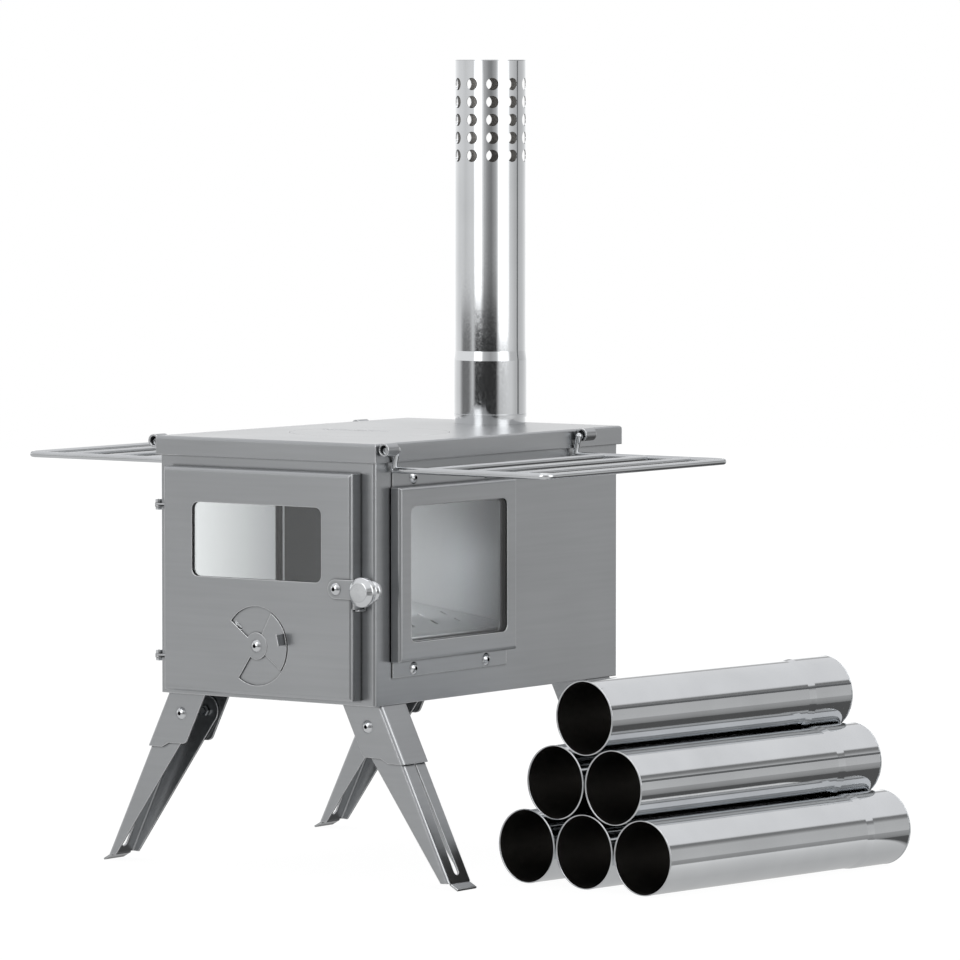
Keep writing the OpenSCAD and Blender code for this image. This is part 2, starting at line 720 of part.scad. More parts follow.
// Side rack, drawn for the right side: a bent wire frame with three long wires between its arms
wire_slant_share = 1.03;
rack_lean_in = (rack_axis_x - rim_x - wire_slant_share*(wire_r + seat_gap))*rack_drop
    /(rack_axis_z - lid_top_z + lid_rim_h);
rack_wires = 3;
elbow_share = 1.06;
module rack(side) {
    yf = front_y + rack_front_y;
    yr = front_y + rack_rear_y;
    xi = rack_axis_x - rack_lean_in;
    xo = rack_axis_x + rack_reach;
    z = rack_axis_z - rack_drop;
    pin_l = barrel_l - 2*sheet;
    c = rack_corner_r;
    color(mirror_steel) mirror([side < 0 ? 1 : 0, 0, 0]) {
        bar([rack_axis_x, yf - wire_r - sheet - pin_l, rack_axis_z], [rack_axis_x, yf, rack_axis_z], wire_r);
        bar([rack_axis_x, yr, rack_axis_z], [rack_axis_x, yr + wire_r + sheet + pin_l, rack_axis_z], wire_r);
        for (y = [yf, yr]) {
            translate([rack_axis_x, y, rack_axis_z]) sphere(elbow_share*wire_r);
            translate([xi, y, z]) sphere(elbow_share*wire_r);
            bar([rack_axis_x, y, rack_axis_z], [xi, y, z], wire_r);
            bar([xi, y, z], [xo - c, y, z], wire_r);
        }
        bar([xo, yf + c, z], [xo, yr - c, z], wire_r);
        translate([xo - c, yf + c, z]) rotate(-90) rotate_extrude(angle = 90)
            translate([c, 0]) circle(wire_r, $fn = 32);
        translate([xo - c, yr - c, z]) rotate_extrude(angle = 90) translate([c, 0]) circle(wire_r, $fn = 32);
        for (i = [0:rack_wires - 1]) {
            wx = xo - rack_first_gap - i*rack_pitch;
            bar([wx, yf, z], [wx, yr, z], wire_r*0.9);
        }
    }
}

// Where a line at the given distance outside the pivot, leaning as the legs do, meets a height
function lean_x(out, z) = (out - z*sin(leg_lean))/cos(leg_lean);

// Puts a leg or bracket, drawn for the right side about its pivot, at one corner of the stove
module at_corner(side, end) {
    translate([side*pivot_x, end*bracket_mid_y, pivot_z]) mirror([side < 0 ? 1 : 0, 0, 0]) children();
}

// Stock of a folded channel along the leg: its web at a distance outside the pivot, its bends round
stock_l = 4*stand_h;
module channel_stock(out, w, r) {
    linear_extrude(stock_l, center = true)
        translate([-stock_l/2, 0]) rotate(-90) arch(w, out + stock_l/2, r);
}

// Bracket: a channel welded under the firebox, open on the inside, its web leaning as the leg does
step_share = 0.45;
corner_steps = 8;
module leg_bracket(side, end) {
    top = pivot_drop;
    low = -bracket_low;
    step = low*0.87;
    x_step = lean_x(-bracket_in, step)*(1 - step_share) + lean_x(bracket_out, step)*step_share;
    bend_r = leg_bend_r + leg_gap;
    corner_x = lean_x(bracket_corner_r - bracket_in, step + bracket_corner_r);
    color(satin) at_corner(side, end) difference() {
        intersection() {
            rotate([90, 0, 0]) linear_extrude(bracket_w + 2*cut, center = true) polygon([
                [lean_x(bracket_out + cut, top), top], [lean_x(bracket_out + cut, low), low],
                [x_step + bracket_in/2, low], [x_step, step],
                for (i = [0:corner_steps]) let (a = 270 - i*(90 - leg_lean)/corner_steps)
                    [corner_x + bracket_corner_r*cos(a), step + bracket_corner_r + bracket_corner_r*sin(a)],
                [lean_x(-bracket_in, top), top]]);
            rotate([0, -leg_lean, 0]) channel_stock(bracket_out, bracket_w, bend_r);
        }
        intersection() {
            rotate([90, 0, 0]) linear_extrude(bracket_w, center = true) polygon([
                [lean_x(bracket_out, top - leg_sheet), top - leg_sheet],
                [lean_x(bracket_out, 2*low), 2*low],
                [2*lean_x(-bracket_in, top), 2*low], [2*lean_x(-bracket_in, top), top - leg_sheet]]);
            rotate([0, -leg_lean, 0])
                channel_stock(bracket_out - leg_sheet, bracket_w - 2*leg_sheet, bend_r - leg_sheet);
        }
        rotate([90, 0, 0]) cylinder(h = bracket_w + 2*cut, r = pivot_screw_r + bore_gap/2, center = true);
    }
}

// Leg: a tapered channel on the pivot, with a long slot in its web and a turned-out lip for a foot
leg_top_r = 13;
leg_web_top = 2;
leg_run = (pivot_z + leg_web_out*sin(leg_lean) - foot_lip_l*cos(foot_lip_turn + leg_lean)
    - leg_sheet*sin(foot_lip_turn + leg_lean))/cos(leg_lean);
slot_from_share = 0.29;
slot_to_share = 0.93;
slot_small_r = 1;
slot_big_r = 3;
module leg(side, end) {
    slot_from = -leg_run*slot_from_share;
    slot_to = -leg_run*slot_to_share;
    lip_w = leg_w - 2*leg_bend_r;
    color(satin) at_corner(side, end) rotate([0, -leg_lean, 0]) {
        difference() {
            intersection() {
                rotate([90, 0, 0]) linear_extrude(leg_w + 2*cut, center = true) union() {
                    circle(leg_top_r);
                    polygon([
                        [leg_web_out + cut, leg_web_top], [leg_web_out + cut, -leg_run],
                        [leg_web_out - leg_foot_w, -leg_run + leg_foot_w/2], [-leg_top_r, 0],
                        [0, leg_web_top]]);
                }
                channel_stock(leg_web_out, leg_w, leg_bend_r);
            }
            channel_stock(leg_web_out - leg_sheet, leg_w - 2*leg_sheet, leg_bend_r - leg_sheet);
            rotate([90, 0, 0]) cylinder(h = leg_w + 2*cut, r = pivot_screw_r + bore_gap, center = true);
            translate([leg_web_out - leg_sheet - cut, 0, 0]) rotate([90, 0, 90])
                linear_extrude(leg_sheet + 2*cut) {
                    translate([0, slot_from]) circle(slot_small_r);
                    translate([0, slot_to]) circle(slot_big_r);
                    polygon([
                        [-slot_small_r, slot_from], [slot_small_r, slot_from],
                        [slot_big_r, slot_to], [-slot_big_r, slot_to]]);
                }
        }
        translate([leg_web_out, -lip_w/2, -leg_run]) rotate([0, -foot_lip_turn, 0])
            translate([-leg_sheet, 0, -foot_lip_l]) cube([leg_sheet, lip_w, foot_lip_l]);
        translate([leg_web_out, 0, -leg_run]) rotate([90, 0, 0]) intersection() {
            cylinder(h = lip_w, r = leg_sheet, center = true);
            translate([-leg_sheet, -leg_sheet, -lip_w/2]) cube([leg_sheet, 2*leg_sheet, lip_w]);
        }
    }
}

// Pivot screws: one through each bracket flange at the front and back of a leg
module pivot_screws() {
    reach = 2*leg_sheet + leg_gap;
    color(mirror_steel) for (side = [-1, 1], end = [-1, 1]) at_corner(side, end)
        for (face = [-1, 1]) translate([0, face*bracket_w/2, 0]) rotate([-90*face, 0, 0])
            button_screw(pivot_screw_r, reach + 1.6*pivot_screw_r);
}

// Pivot nuts: inside each leg channel, on the screws
module pivot_nuts() {
    reach = 2*leg_sheet + leg_gap;
    color(mirror_steel) for (side = [-1, 1], end = [-1, 1]) at_corner(side, end)
        for (face = [-1, 1]) translate([0, face*(bracket_w/2 - reach - seat_gap), 0]) rotate([90*face, 0, 0])
            nut(pivot_screw_r, 1.2*pivot_screw_r);
}

// Grate: a slotted sheet on folded ends, its two wings falling towards the middle
grate_gap = 1.5;
slot_slant = 35;
slot_rows_share = [0.3, 0.55, 0.8];
module grate_wing(w, d) {
    rotate([0, -grate_slope, 0]) difference() {
        translate([0, -d/2, 0]) cube([w/cos(grate_slope), d, grate_t]);
        for (row = [0:len(slot_rows_share) - 1], i = [-4:4])
            translate([w*slot_rows_share[row], (i + row%2/2)*grate_pitch, -cut]) rotate(slot_slant)
                linear_extrude(grate_t + 2*cut) round_rect(grate_slot_l, grate_slot_w, grate_slot_w*0.45);
    }
}
module grate() {
    w = body_w/2 - sheet - grate_gap;
    d = body_d - 2*sheet - 2*grate_gap;
    rise = w*tan(grate_slope);
    color(satin) translate([0, 0, floor_z + sheet]) {
        for (side = [-1, 1])
            mirror([side < 0 ? 1 : 0, 0, 0]) translate([0, 0, grate_z]) grate_wing(w - grate_t, d);
        for (y = [-d/2, d/2 - grate_t]) translate([0, y + grate_t, 0]) rotate([90, 0, 0])
            linear_extrude(grate_t) polygon([
                [-w, 0], [w, 0], [w, grate_z + rise], [w/2, grate_z + rise/2], [0, grate_z + grate_t/2],
                [-w/2, grate_z + rise/2], [-w, grate_z + rise]]);
    }
}

firebox();
lid();
hot_plate_ledge();
hot_plate();
flue_collar();
flue_perforated();
spare_flue(0);  // spare_flue_1
spare_flue(1);  // spare_flue_2
spare_flue(2);  // spare_flue_3
spare_flue(3);  // spare_flue_4
spare_flue(4);  // spare_flue_5
spare_flue(5);  // spare_flue_6
door();
door_glass();
door_glass_retainer();
air_damper();
damper_screw();
latch_arm();
latch_knob();
latch_screw();
latch_keeper();
hinge_lugs();
hinge_pins();
window_plate(-1);  // window_plate_left
window_plate(1);  // window_plate_right
window_frame(-1);  // window_frame_left
window_frame(1);  // window_frame_right
window_gasket(-1);  // window_gasket_left
window_gasket(1);  // window_gasket_right
window_glass(-1);  // window_glass_left
window_glass(1);  // window_glass_right
window_screws();
rack(-1);  // rack_left
rack(1);  // rack_right
rack_barrels();
leg_bracket(-1, -1);  // bracket_front_left
leg_bracket(1, -1);  // bracket_front_right
leg_bracket(-1, 1);  // bracket_rear_left
leg_bracket(1, 1);  // bracket_rear_right
leg(-1, -1);  // leg_front_left
leg(1, -1);  // leg_front_right
leg(-1, 1);  // leg_rear_left
leg(1, 1);  // leg_rear_right
pivot_screws();
pivot_nuts();
grate();
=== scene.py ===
"""Tent wood stove in stainless steel: finishes, tube seams, tube rims and knob round the fixed CAD frame."""

import json
import math

import bpy
import numpy as np
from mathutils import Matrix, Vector


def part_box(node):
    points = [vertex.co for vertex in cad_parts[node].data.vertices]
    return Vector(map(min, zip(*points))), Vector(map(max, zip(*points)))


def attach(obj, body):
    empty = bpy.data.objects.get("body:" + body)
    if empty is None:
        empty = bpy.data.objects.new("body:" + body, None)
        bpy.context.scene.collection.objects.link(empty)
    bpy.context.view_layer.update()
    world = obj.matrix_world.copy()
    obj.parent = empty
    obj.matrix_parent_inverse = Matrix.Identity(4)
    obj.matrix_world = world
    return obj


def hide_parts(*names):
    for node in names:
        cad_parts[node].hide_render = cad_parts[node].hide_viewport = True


bl_info = {
    "name": "Tent wood stove",
    "version": (1, 0, 0),
    "blender": (4, 5, 0),
    "location": "View3D > Sidebar > Stove",
    "description": "Finishes, tube seams, rims, knob and studio of a stainless tent stove",
    "category": "Object",
}

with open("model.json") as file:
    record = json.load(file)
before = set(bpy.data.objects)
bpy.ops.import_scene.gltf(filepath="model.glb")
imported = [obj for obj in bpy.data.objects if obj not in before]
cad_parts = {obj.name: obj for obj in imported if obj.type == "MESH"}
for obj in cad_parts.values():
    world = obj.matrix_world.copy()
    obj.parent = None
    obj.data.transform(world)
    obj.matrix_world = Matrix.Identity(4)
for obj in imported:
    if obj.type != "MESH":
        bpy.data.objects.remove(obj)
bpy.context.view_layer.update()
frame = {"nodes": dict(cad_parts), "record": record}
MM = 0.001

SIDES = ("left", "right")
ENDS = ("front", "rear")
SPARE_TUBES = [f"spare_flue_{i}" for i in range(1, 7)]
TUBES = ["flue_perforated", *SPARE_TUBES]
SATIN_NODES = [
    "firebox", "lid", "hot_plate_ledge", "hot_plate", "door", "door_glass_retainer", "air_damper",
    "latch_arm", "latch_keeper", "hinge_lugs", "rack_barrels",
    *[f"window_{part}_{side}" for part in ("plate", "frame") for side in SIDES],
    *[f"{part}_{end}_{side}" for part in ("leg", "bracket") for end in ENDS for side in SIDES],
]
SCREW_NODES = ["damper_screw", "latch_screw", "hinge_pins", "window_screws", "pivot_screws", "pivot_nuts"]
RACK_NODES = [f"rack_{side}" for side in SIDES]
SIDE_GLASS_NODES = [f"window_glass_{side}" for side in SIDES]
GASKET_NODES = [f"window_gasket_{side}" for side in SIDES]

# The stove's sheet, and a chimney section's wall, plain radius, socket radius, and length of socket and cone
SHEET = 1 * MM
TUBE_WALL = 0.6 * MM
TUBE_R = 30 * MM
SOCKET_R = 30.9 * MM
SOCKET_L = 46 * MM
CONE_L = 8 * MM

# The spare tubes lie turned by this angle from the depth of the stove
STACK_TURN = math.radians(6.8)


# Colour, nodes and meshes


def linear(hex_colour):
    """An sRGB hex colour as linear red, green, blue and alpha."""
    values = [int(hex_colour[i:i + 2], 16) / 255 for i in (1, 3, 5)]
    return [v / 12.92 if v <= 0.04045 else ((v + 0.055) / 1.055) ** 2.4 for v in values] + [1.0]


def add(tree, kind, inputs=None, **settings):
    """Adds a node with its settings, and sets or links its inputs."""
    made = tree.nodes.new(kind)
    for key, value in settings.items():
        setattr(made, key, value)
    for key, value in (inputs or {}).items():
        if isinstance(value, bpy.types.NodeSocket):
            tree.links.new(value, made.inputs[key])
        else:
            made.inputs[key].default_value = value
    return made


def new_material(name):
    """An empty node material and its tree, with its output node."""
    material = bpy.data.materials.new(name)
    material.use_nodes = True
    material.node_tree.nodes.clear()
    return material, material.node_tree, add(material.node_tree, "ShaderNodeOutputMaterial")


def surface(name, grid, wrap_u=False, wrap_v=False):
    """A mesh object from a grid of points, rows along u and columns along v, with its faces as quads. A
    wrapped direction joins its last points to its first."""
    rows, columns = grid.shape[:2]
    index = np.arange(rows * columns).reshape(rows, columns)
    if wrap_u:
        index = np.vstack([index, index[:1]])
    if wrap_v:
        index = np.hstack([index, index[:, :1]])
    quads = np.stack([index[:-1, :-1], index[1:, :-1], index[1:, 1:], index[:-1, 1:]], axis=-1)
    quads = quads.reshape(-1, 4)
    mesh = bpy.data.meshes.new(name)
    mesh.vertices.add(rows * columns)
    mesh.vertices.foreach_set("co", grid.astype(np.float32).ravel())
    mesh.loops.add(quads.size)
    mesh.loops.foreach_set("vertex_index", quads.astype(np.int32).ravel())
    mesh.polygons.add(len(quads))
    mesh.polygons.foreach_set("loop_start", np.arange(0, quads.size, 4, dtype=np.int32))
    mesh.polygons.foreach_set("use_smooth", np.ones(len(quads), bool))
    mesh.update(calc_edges=True)
    made = bpy.data.objects.new(name, mesh)
    bpy.context.scene.collection.objects.link(made)
    return made


def turned(name, profile, base, axis, ring=False):
    """A turned shape: each profile point (radius, height along the axis) carried round the axis in equal
    steps. The profile of a ring is closed."""
    steps = 96
    axis = np.array(Vector(axis).normalized())
    side = np.array(Vector(axis).orthogonal().normalized())
    other = np.cross(axis, side)
    angle = np.linspace(0, 2 * np.pi, steps, endpoint=False)
    round_dirs = np.cos(angle)[:, None] * side + np.sin(angle)[:, None] * other
    grid = (np.asarray(base, float) + profile[None, :, 1, None] * axis
            + profile[None, :, 0, None] * round_dirs[:, None, :])
    return surface(name, grid, wrap_u=True, wrap_v=ring)


def fillet(points, radius):
    """A profile with its corners rounded: each becomes a quadratic arc between two points near it."""
    steps = 6
    points = np.asarray(points, float)
    before, corner, after = points[:-2], points[1:-1], points[2:]
    to_before, to_after = before - corner, after - corner
    length_before = np.linalg.norm(to_before, axis=1, keepdims=True)
    length_after = np.linalg.norm(to_after, axis=1, keepdims=True)
    reach = np.minimum(radius, 0.45 * np.minimum(length_before, length_after))
    start = corner + to_before / length_before * reach
    end = corner + to_after / length_after * reach
    t = np.linspace(0, 1, steps)[None, :, None]
    arcs = (1 - t) ** 2 * start[:, None] + 2 * t * (1 - t) * corner[:, None] + t ** 2 * end[:, None]
    return np.vstack([points[:1], arcs.reshape(-1, 2), points[-1:]])


def outward(made):
    """Turns the faces of a closed shape outwards, by the sign of its volume: the sum of the tetrahedra from
    its middle to each half of each quad."""
    mesh = made.data
    corners = np.empty(len(mesh.vertices) * 3, np.float32)
    mesh.vertices.foreach_get("co", corners)
    corners = corners.reshape(-1, 3)
    quads = np.empty(len(mesh.loops), np.int32)
    mesh.loops.foreach_get("vertex_index", quads)
    quads = quads.reshape(-1, 4)
    a, b, c, d = (corners[quads[:, k]] - corners.mean(axis=0) for k in range(4))
    volume = np.einsum("ij,ij->", a, np.cross(b, c)) + np.einsum("ij,ij->", a, np.cross(c, d))
    if volume < 0:
        mesh.flip_normals()
    return made


def face_values(mesh, name):
    """A vector of each face of a mesh, such as its normal or centre, one row for each."""
    values = np.empty(len(mesh.polygons) * 3, np.float32)
    mesh.polygons.foreach_get(name, values)
    return values.reshape(-1, 3)


def paint(made, material):
    """Gives an object one material in place of those it has."""
    made.data.materials.clear()
    made.data.materials.append(material)


def paint_two(made, material, second, takes_second):
    """Gives an object one material, and the marked faces a second one."""
    paint(made, material)
    made.data.materials.append(second)
    made.data.polygons.foreach_set("material_index", takes_second.astype(np.int32))


def place(made, material, body):
    """Finishes a new piece: its material, and the body that it rides on."""
    paint(made, material)
    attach(made, body)


def body_of(node):
    """The CAD body that holds a node."""
    bodies = frame["record"]["behaviour"]["bodies"]
    return next(name for name, nodes in bodies.items() if node in nodes)


# Sizes and colours that a user would change


class StoveFinish(bpy.types.PropertyGroup):
    """Colours of the steel, glass and gasket, and widths of the grain, painted edge highlight and painted
    crease shade.
    """

    satin_colour: bpy.props.StringProperty(
        name="Satin steel", description="sRGB hex colour of the satin sheet", default="#b2b4b6")
    # Colour of the painted highlight along folds and cut edges
    edge_highlight_colour: bpy.props.StringProperty(
        name="Edges", description="sRGB hex colour of folds and cut edges, rubbed bright", default="#f4f5f6")
    polish_colour: bpy.props.StringProperty(
        name="Polished steel", description="sRGB hex colour of the polished tubes and screws",
        default="#d9dbdd")
    rod_colour: bpy.props.StringProperty(
        name="Rods", description="sRGB hex colour of the racks' rods", default="#d0d2d4")
    seam_colour: bpy.props.StringProperty(
        name="Weld seams", description="sRGB hex colour of the tubes' weld seams", default="#77797b")
    knob_colour: bpy.props.StringProperty(
        name="Knob", description="sRGB hex colour of the latch's knob", default="#dddfe1")
    inner_colour: bpy.props.StringProperty(
        name="Tube inside", description="sRGB hex colour of the tubes' dull inner wall", default="#94928f")
    firebox_colour: bpy.props.StringProperty(
        name="Firebox inside", description="sRGB hex colour of the unbrushed inner faces", default="#dcdee0")
    gasket_colour: bpy.props.StringProperty(
        name="Gasket", description="sRGB hex colour of the fibre gasket", default="#242424")
    glass_colour: bpy.props.StringProperty(
        name="Glass", description="sRGB hex tint of the heat-proof glass", default="#fafcfc")
    # Painted shade: the grey that the side windows' glass darkens to at its rear edge
    rear_shade_colour: bpy.props.StringProperty(
        name="Smoke haze", description="sRGB hex tint at the rear edge of the side windows",
        default="#9ea0a2")
    grain_pitch: bpy.props.FloatProperty(
        name="Grain pitch", description="Width of the sheet's brushed grain", default=3 * MM, unit="LENGTH")
    # Width of the painted highlight along folds and cut edges, and of the rounded normal there
    edge_width: bpy.props.FloatProperty(
        name="Edge width", description="Width of the bright line along folds and cut edges",
        default=1.1 * MM, unit="LENGTH")
    # Reach of the painted shade where two sheets meet
    crease_shade_reach: bpy.props.FloatProperty(
        name="Crease width", description="Reach of the dark line where two sheets meet", default=2.5 * MM,
        unit="LENGTH")


class StoveFittings(bpy.types.PropertyGroup):
    """Sizes of the seams, rims and knob."""

    seam_width: bpy.props.FloatProperty(
        name="Seam width", description="Width of a tube's weld seam", default=1.6 * MM, unit="LENGTH")
    seam_height: bpy.props.FloatProperty(
        name="Seam height", description="Height of a tube's weld seam", default=0.15 * MM, unit="LENGTH")
    rim_radius: bpy.props.FloatProperty(
        name="Rim radius", description="Radius of the rounded rim at a tube's end", default=0.42 * MM,
        unit="LENGTH")
    knob_round: bpy.props.FloatProperty(
        name="Knob rounding", description="Rounding of the knob's edges", default=1.2 * MM, unit="LENGTH")


# Finishes


def toned(tree, pattern, hex_colour, at_low, at_high, low=0.0, high=1.0):
    """A colour times a share, which goes from at_low to at_high as the pattern goes from low to high."""
    colour = np.array(linear(hex_colour)[:3])
    tone = add(tree, "ShaderNodeValToRGB", {"Fac": pattern})
    for element, position, share in zip(tone.color_ramp.elements, (low, high), (at_low, at_high)):
        element.position = position
        element.color = [*np.minimum(colour * share, 1), 1]
    return tone.outputs["Color"]


def darkened(tree, colour, share):
    """A colour times a share."""
    made = add(tree, "ShaderNodeMix", {"Factor": 1.0, "A": colour, "B": share},
               data_type="RGBA", blend_type="MULTIPLY")
    return made.outputs["Result"]


def painted_edge_highlight(tree, finish, colour, normal):
    """The colour with a painted highlight along folds and cut edges, and the normal rounded there: an edge is
    where a small bevel turns away from the flat face."""
    bevel = add(tree, "ShaderNodeBevel", {"Radius": finish.edge_width, "Normal": normal}, samples=6)
    flat = add(tree, "ShaderNodeNewGeometry").outputs["Normal"]
    alike = add(tree, "ShaderNodeVectorMath", {0: bevel.outputs["Normal"], 1: flat}, operation="DOT_PRODUCT")
    edge = add(tree, "ShaderNodeMapRange", {"Value": alike.outputs["Value"], "From Min": 0.99,
                                            "From Max": 0.85, "To Min": 0.0, "To Max": 1.0})
    # Painted highlight: the edge colour mixed in along the edges
    highlighted = add(tree, "ShaderNodeMix", {"Factor": edge.outputs["Result"], "A": colour,
                                         "B": linear(finish.edge_highlight_colour)}, data_type="RGBA")
    return highlighted.outputs["Result"], bevel.outputs["Normal"]


def painted_crease_shade(tree, colour, reach, enclosed, darkest):
    """Painted shade: the colour darkened in creases and sockets, where little light reaches. It falls to its
    darkest share where no more than the enclosed share of the surroundings, within reach, is open."""
    open_air = add(tree, "ShaderNodeAmbientOcclusion", {"Distance": reach}, samples=6)
    shade_share = add(tree, "ShaderNodeMapRange", {"Value": open_air.outputs["AO"], "From Min": enclosed,
                                              "From Max": 0.93, "To Min": darkest, "To Max": 1.0})
    return darkened(tree, colour, shade_share.outputs["Result"])


def satin_stainless(finish):
    """Stainless steel sheet, cold rolled and lightly brushed: an even grey with a faint grain along the
    sheet, and reflections too soft to show more than light and dark."""
    material, tree, output = new_material("satin_stainless_sheet")
    position = add(tree, "ShaderNodeTexCoord").outputs["Object"]
    normal = add(tree, "ShaderNodeNewGeometry").outputs["Normal"]
    facing = add(tree, "ShaderNodeSeparateXYZ", {"Vector": normal})
    # The grain runs along X on the front, back and lid, and along Y on the side walls, and is 25 times as
    # long as wide. The real one is too fine to show, so it is drawn some ten times as coarse, and faint.
    across = 1 / finish.grain_pitch
    along = across / 25
    grains = []
    for scale in ((along, across, across), (across, along, across)):
        stretched = add(tree, "ShaderNodeMapping", {"Vector": position, "Scale": scale})
        lines = add(tree, "ShaderNodeTexNoise", {"Vector": stretched.outputs["Vector"], "Scale": 1.0,
                                                 "Detail": 1.0, "Roughness": 0.4})
        grains.append(lines.outputs["Fac"])
    # A face that looks more to the side than to the front, back or top belongs to a side wall
    sideways = add(tree, "ShaderNodeMath", {0: facing.outputs["X"]}, operation="ABSOLUTE")
    on_side = add(tree, "ShaderNodeMath", {0: sideways.outputs[0], 1: 0.7}, operation="GREATER_THAN")
    grain = add(tree, "ShaderNodeMix", {"Factor": on_side.outputs[0], "A": grains[0], "B": grains[1]})
    colour = toned(tree, grain.outputs["Result"], finish.satin_colour, 0.98, 1.02, 0.3, 0.7)
    # Rolling leaves broad, shallow waves and clouds, about 100 mm across
    cloud = add(tree, "ShaderNodeTexNoise", {"Vector": position, "Scale": 1 / (100 * MM), "Detail": 1.0,
                                             "Roughness": 0.4})
    # The roughness stays over 0.28 everywhere: just below that the renderer's noise filter takes steel for
    # a mirror, and draws a thin line where the two meet
    fine = add(tree, "ShaderNodeMapRange", {"Value": grain.outputs["Result"], "To Min": -0.006,
                                            "To Max": 0.006})
    broad = add(tree, "ShaderNodeMapRange", {"Value": cloud.outputs["Fac"], "From Min": 0.3, "From Max": 0.7,
                                             "To Min": 0.29, "To Max": 0.32})
    roughness = add(tree, "ShaderNodeMath", {0: fine.outputs["Result"], 1: broad.outputs["Result"]})
    bump = add(tree, "ShaderNodeBump", {"Height": cloud.outputs["Fac"], "Strength": 1.0, "Distance": 2 * MM})
    # Painted highlight along folds and cut edges, with the normal rounded there
    highlighted, rounded = painted_edge_highlight(tree, finish, colour, bump.outputs["Normal"])
    # Painted shade: the colour is darkened in the creases between sheets
    shaded = painted_crease_shade(tree, highlighted, finish.crease_shade_reach, enclosed=0.4, darkest=0.25)
    shader = add(tree, "ShaderNodeBsdfPrincipled", {
        "Base Color": shaded, "Metallic": 1.0, "Roughness": roughness.outputs[0], "Normal": rounded})
    tree.links.new(shader.outputs["BSDF"], output.inputs["Surface"])
    return material


def polished_stainless(name, hex_colour, roughness, sockets=False):
    """Stainless steel, polished: reflections that waver a little where the sheet was rolled, and are sharp
    at a low roughness, which is given as its least and most. A screw's socket is dark, because little light
    gets out of it."""
    material, tree, output = new_material(name)
    position = add(tree, "ShaderNodeTexCoord").outputs["Object"]
    # Polishing marks about 2 mm apart, drawn coarser than real to show, and rolling waves about 50 mm long
    marks = add(tree, "ShaderNodeTexNoise", {"Vector": position, "Scale": 1 / (2 * MM), "Detail": 2.0})
    waves = add(tree, "ShaderNodeTexNoise", {"Vector": position, "Scale": 1 / (50 * MM), "Detail": 2.0})
    rough = add(tree, "ShaderNodeMapRange", {"Value": marks.outputs["Fac"], "From Min": 0.3, "From Max": 0.7,
                                             "To Min": roughness[0], "To Max": roughness[1]})
    shade = toned(tree, waves.outputs["Fac"], hex_colour, 0.95, 1.03, 0.3, 0.7)
    # Painted shade: sockets darkened where little light gets out
    if sockets:
        shade = painted_crease_shade(tree, shade, 3 * MM, enclosed=0.58, darkest=0.03)
    bump = add(tree, "ShaderNodeBump", {"Height": waves.outputs["Fac"], "Strength": 0.25,
                                        "Distance": 0.2 * MM})
    shader = add(tree, "ShaderNodeBsdfPrincipled", {
        "Base Color": shade, "Metallic": 1.0, "Roughness": rough.outputs["Result"],
        "Normal": bump.outputs["Normal"]})
    tree.links.new(shader.outputs["BSDF"], output.inputs["Surface"])
    return material


def drawn_rod(finish):
    """The racks' rods, drawn and polished: a shade darker than the tubes, with soft reflections."""
    return polished_stainless("polished_rod", finish.rod_colour, (0.06, 0.12))


def turned_screw(finish):
    """The heads and nuts of the screws, turned and polished: bright, with painted shade in their sockets."""
    return polished_stainless("screw_steel", finish.polish_colour, (0.08, 0.14), sockets=True)


def turned_knob(finish):
    """The latch's knob, turned: bright, and blurred by its fine turning marks."""
    return polished_stainless("turned_knob_steel", finish.knob_colour, (0.16, 0.24))


def smoothed_rim(finish):
    """The rims of the tubes, smoothed after cutting: a thin bright line."""
    return polished_stainless("rim_steel", finish.polish_colour, (0.08, 0.14))


def welded_seam(finish):
    """The weld seam of a rolled tube, left unpolished: darker than the tube, and half dull."""
    return polished_stainless("weld_seam_steel", finish.seam_colour, (0.29, 0.38))


def dull_inner_steel(finish):
    """The unpolished inner wall of a rolled tube: dark, and half dull."""
    return polished_stainless("dull_inner_steel", finish.inner_colour, (0.30, 0.34))


def unbrushed_sheet(finish, name, shaded_along_y=None):
    """The mill finish of the firebox's inner faces and grate: paler than the brushed side, and half dull.
    Painted shade darkens it in front of the first of the two places along Y given, and is gone at the second."""
    material, tree, output = new_material(name)
    position = add(tree, "ShaderNodeTexCoord").outputs["Object"]
    # Mill marks about 4 mm apart, drawn coarser than real to show
    marks = add(tree, "ShaderNodeTexNoise", {"Vector": position, "Scale": 1 / (4 * MM), "Detail": 2.0})
    tone = toned(tree, marks.outputs["Fac"], finish.firebox_colour, 0.96, 1.0)
    bump = add(tree, "ShaderNodeBump", {"Height": marks.outputs["Fac"], "Strength": 0.03,
                                        "Distance": 0.05 * MM})
    # Painted highlight along the cut edges and slots
    shade, rounded = painted_edge_highlight(tree, finish, tone, bump.outputs["Normal"])
    # Painted shade: darker in front of the first place along Y
    if shaded_along_y:
        depth = add(tree, "ShaderNodeSeparateXYZ", {"Vector": position})
        inner_shade = add(tree, "ShaderNodeMapRange", {"Value": depth.outputs["Y"], "From Min": shaded_along_y[0],
                                                "From Max": shaded_along_y[1], "To Min": 0.2, "To Max": 1.0})
        shade = darkened(tree, shade, inner_shade.outputs["Result"])
    shader = add(tree, "ShaderNodeBsdfPrincipled", {
        "Base Color": shade, "Metallic": 0.6, "Roughness": 0.3, "Normal": rounded})
    tree.links.new(shader.outputs["BSDF"], output.inputs["Surface"])
    return material


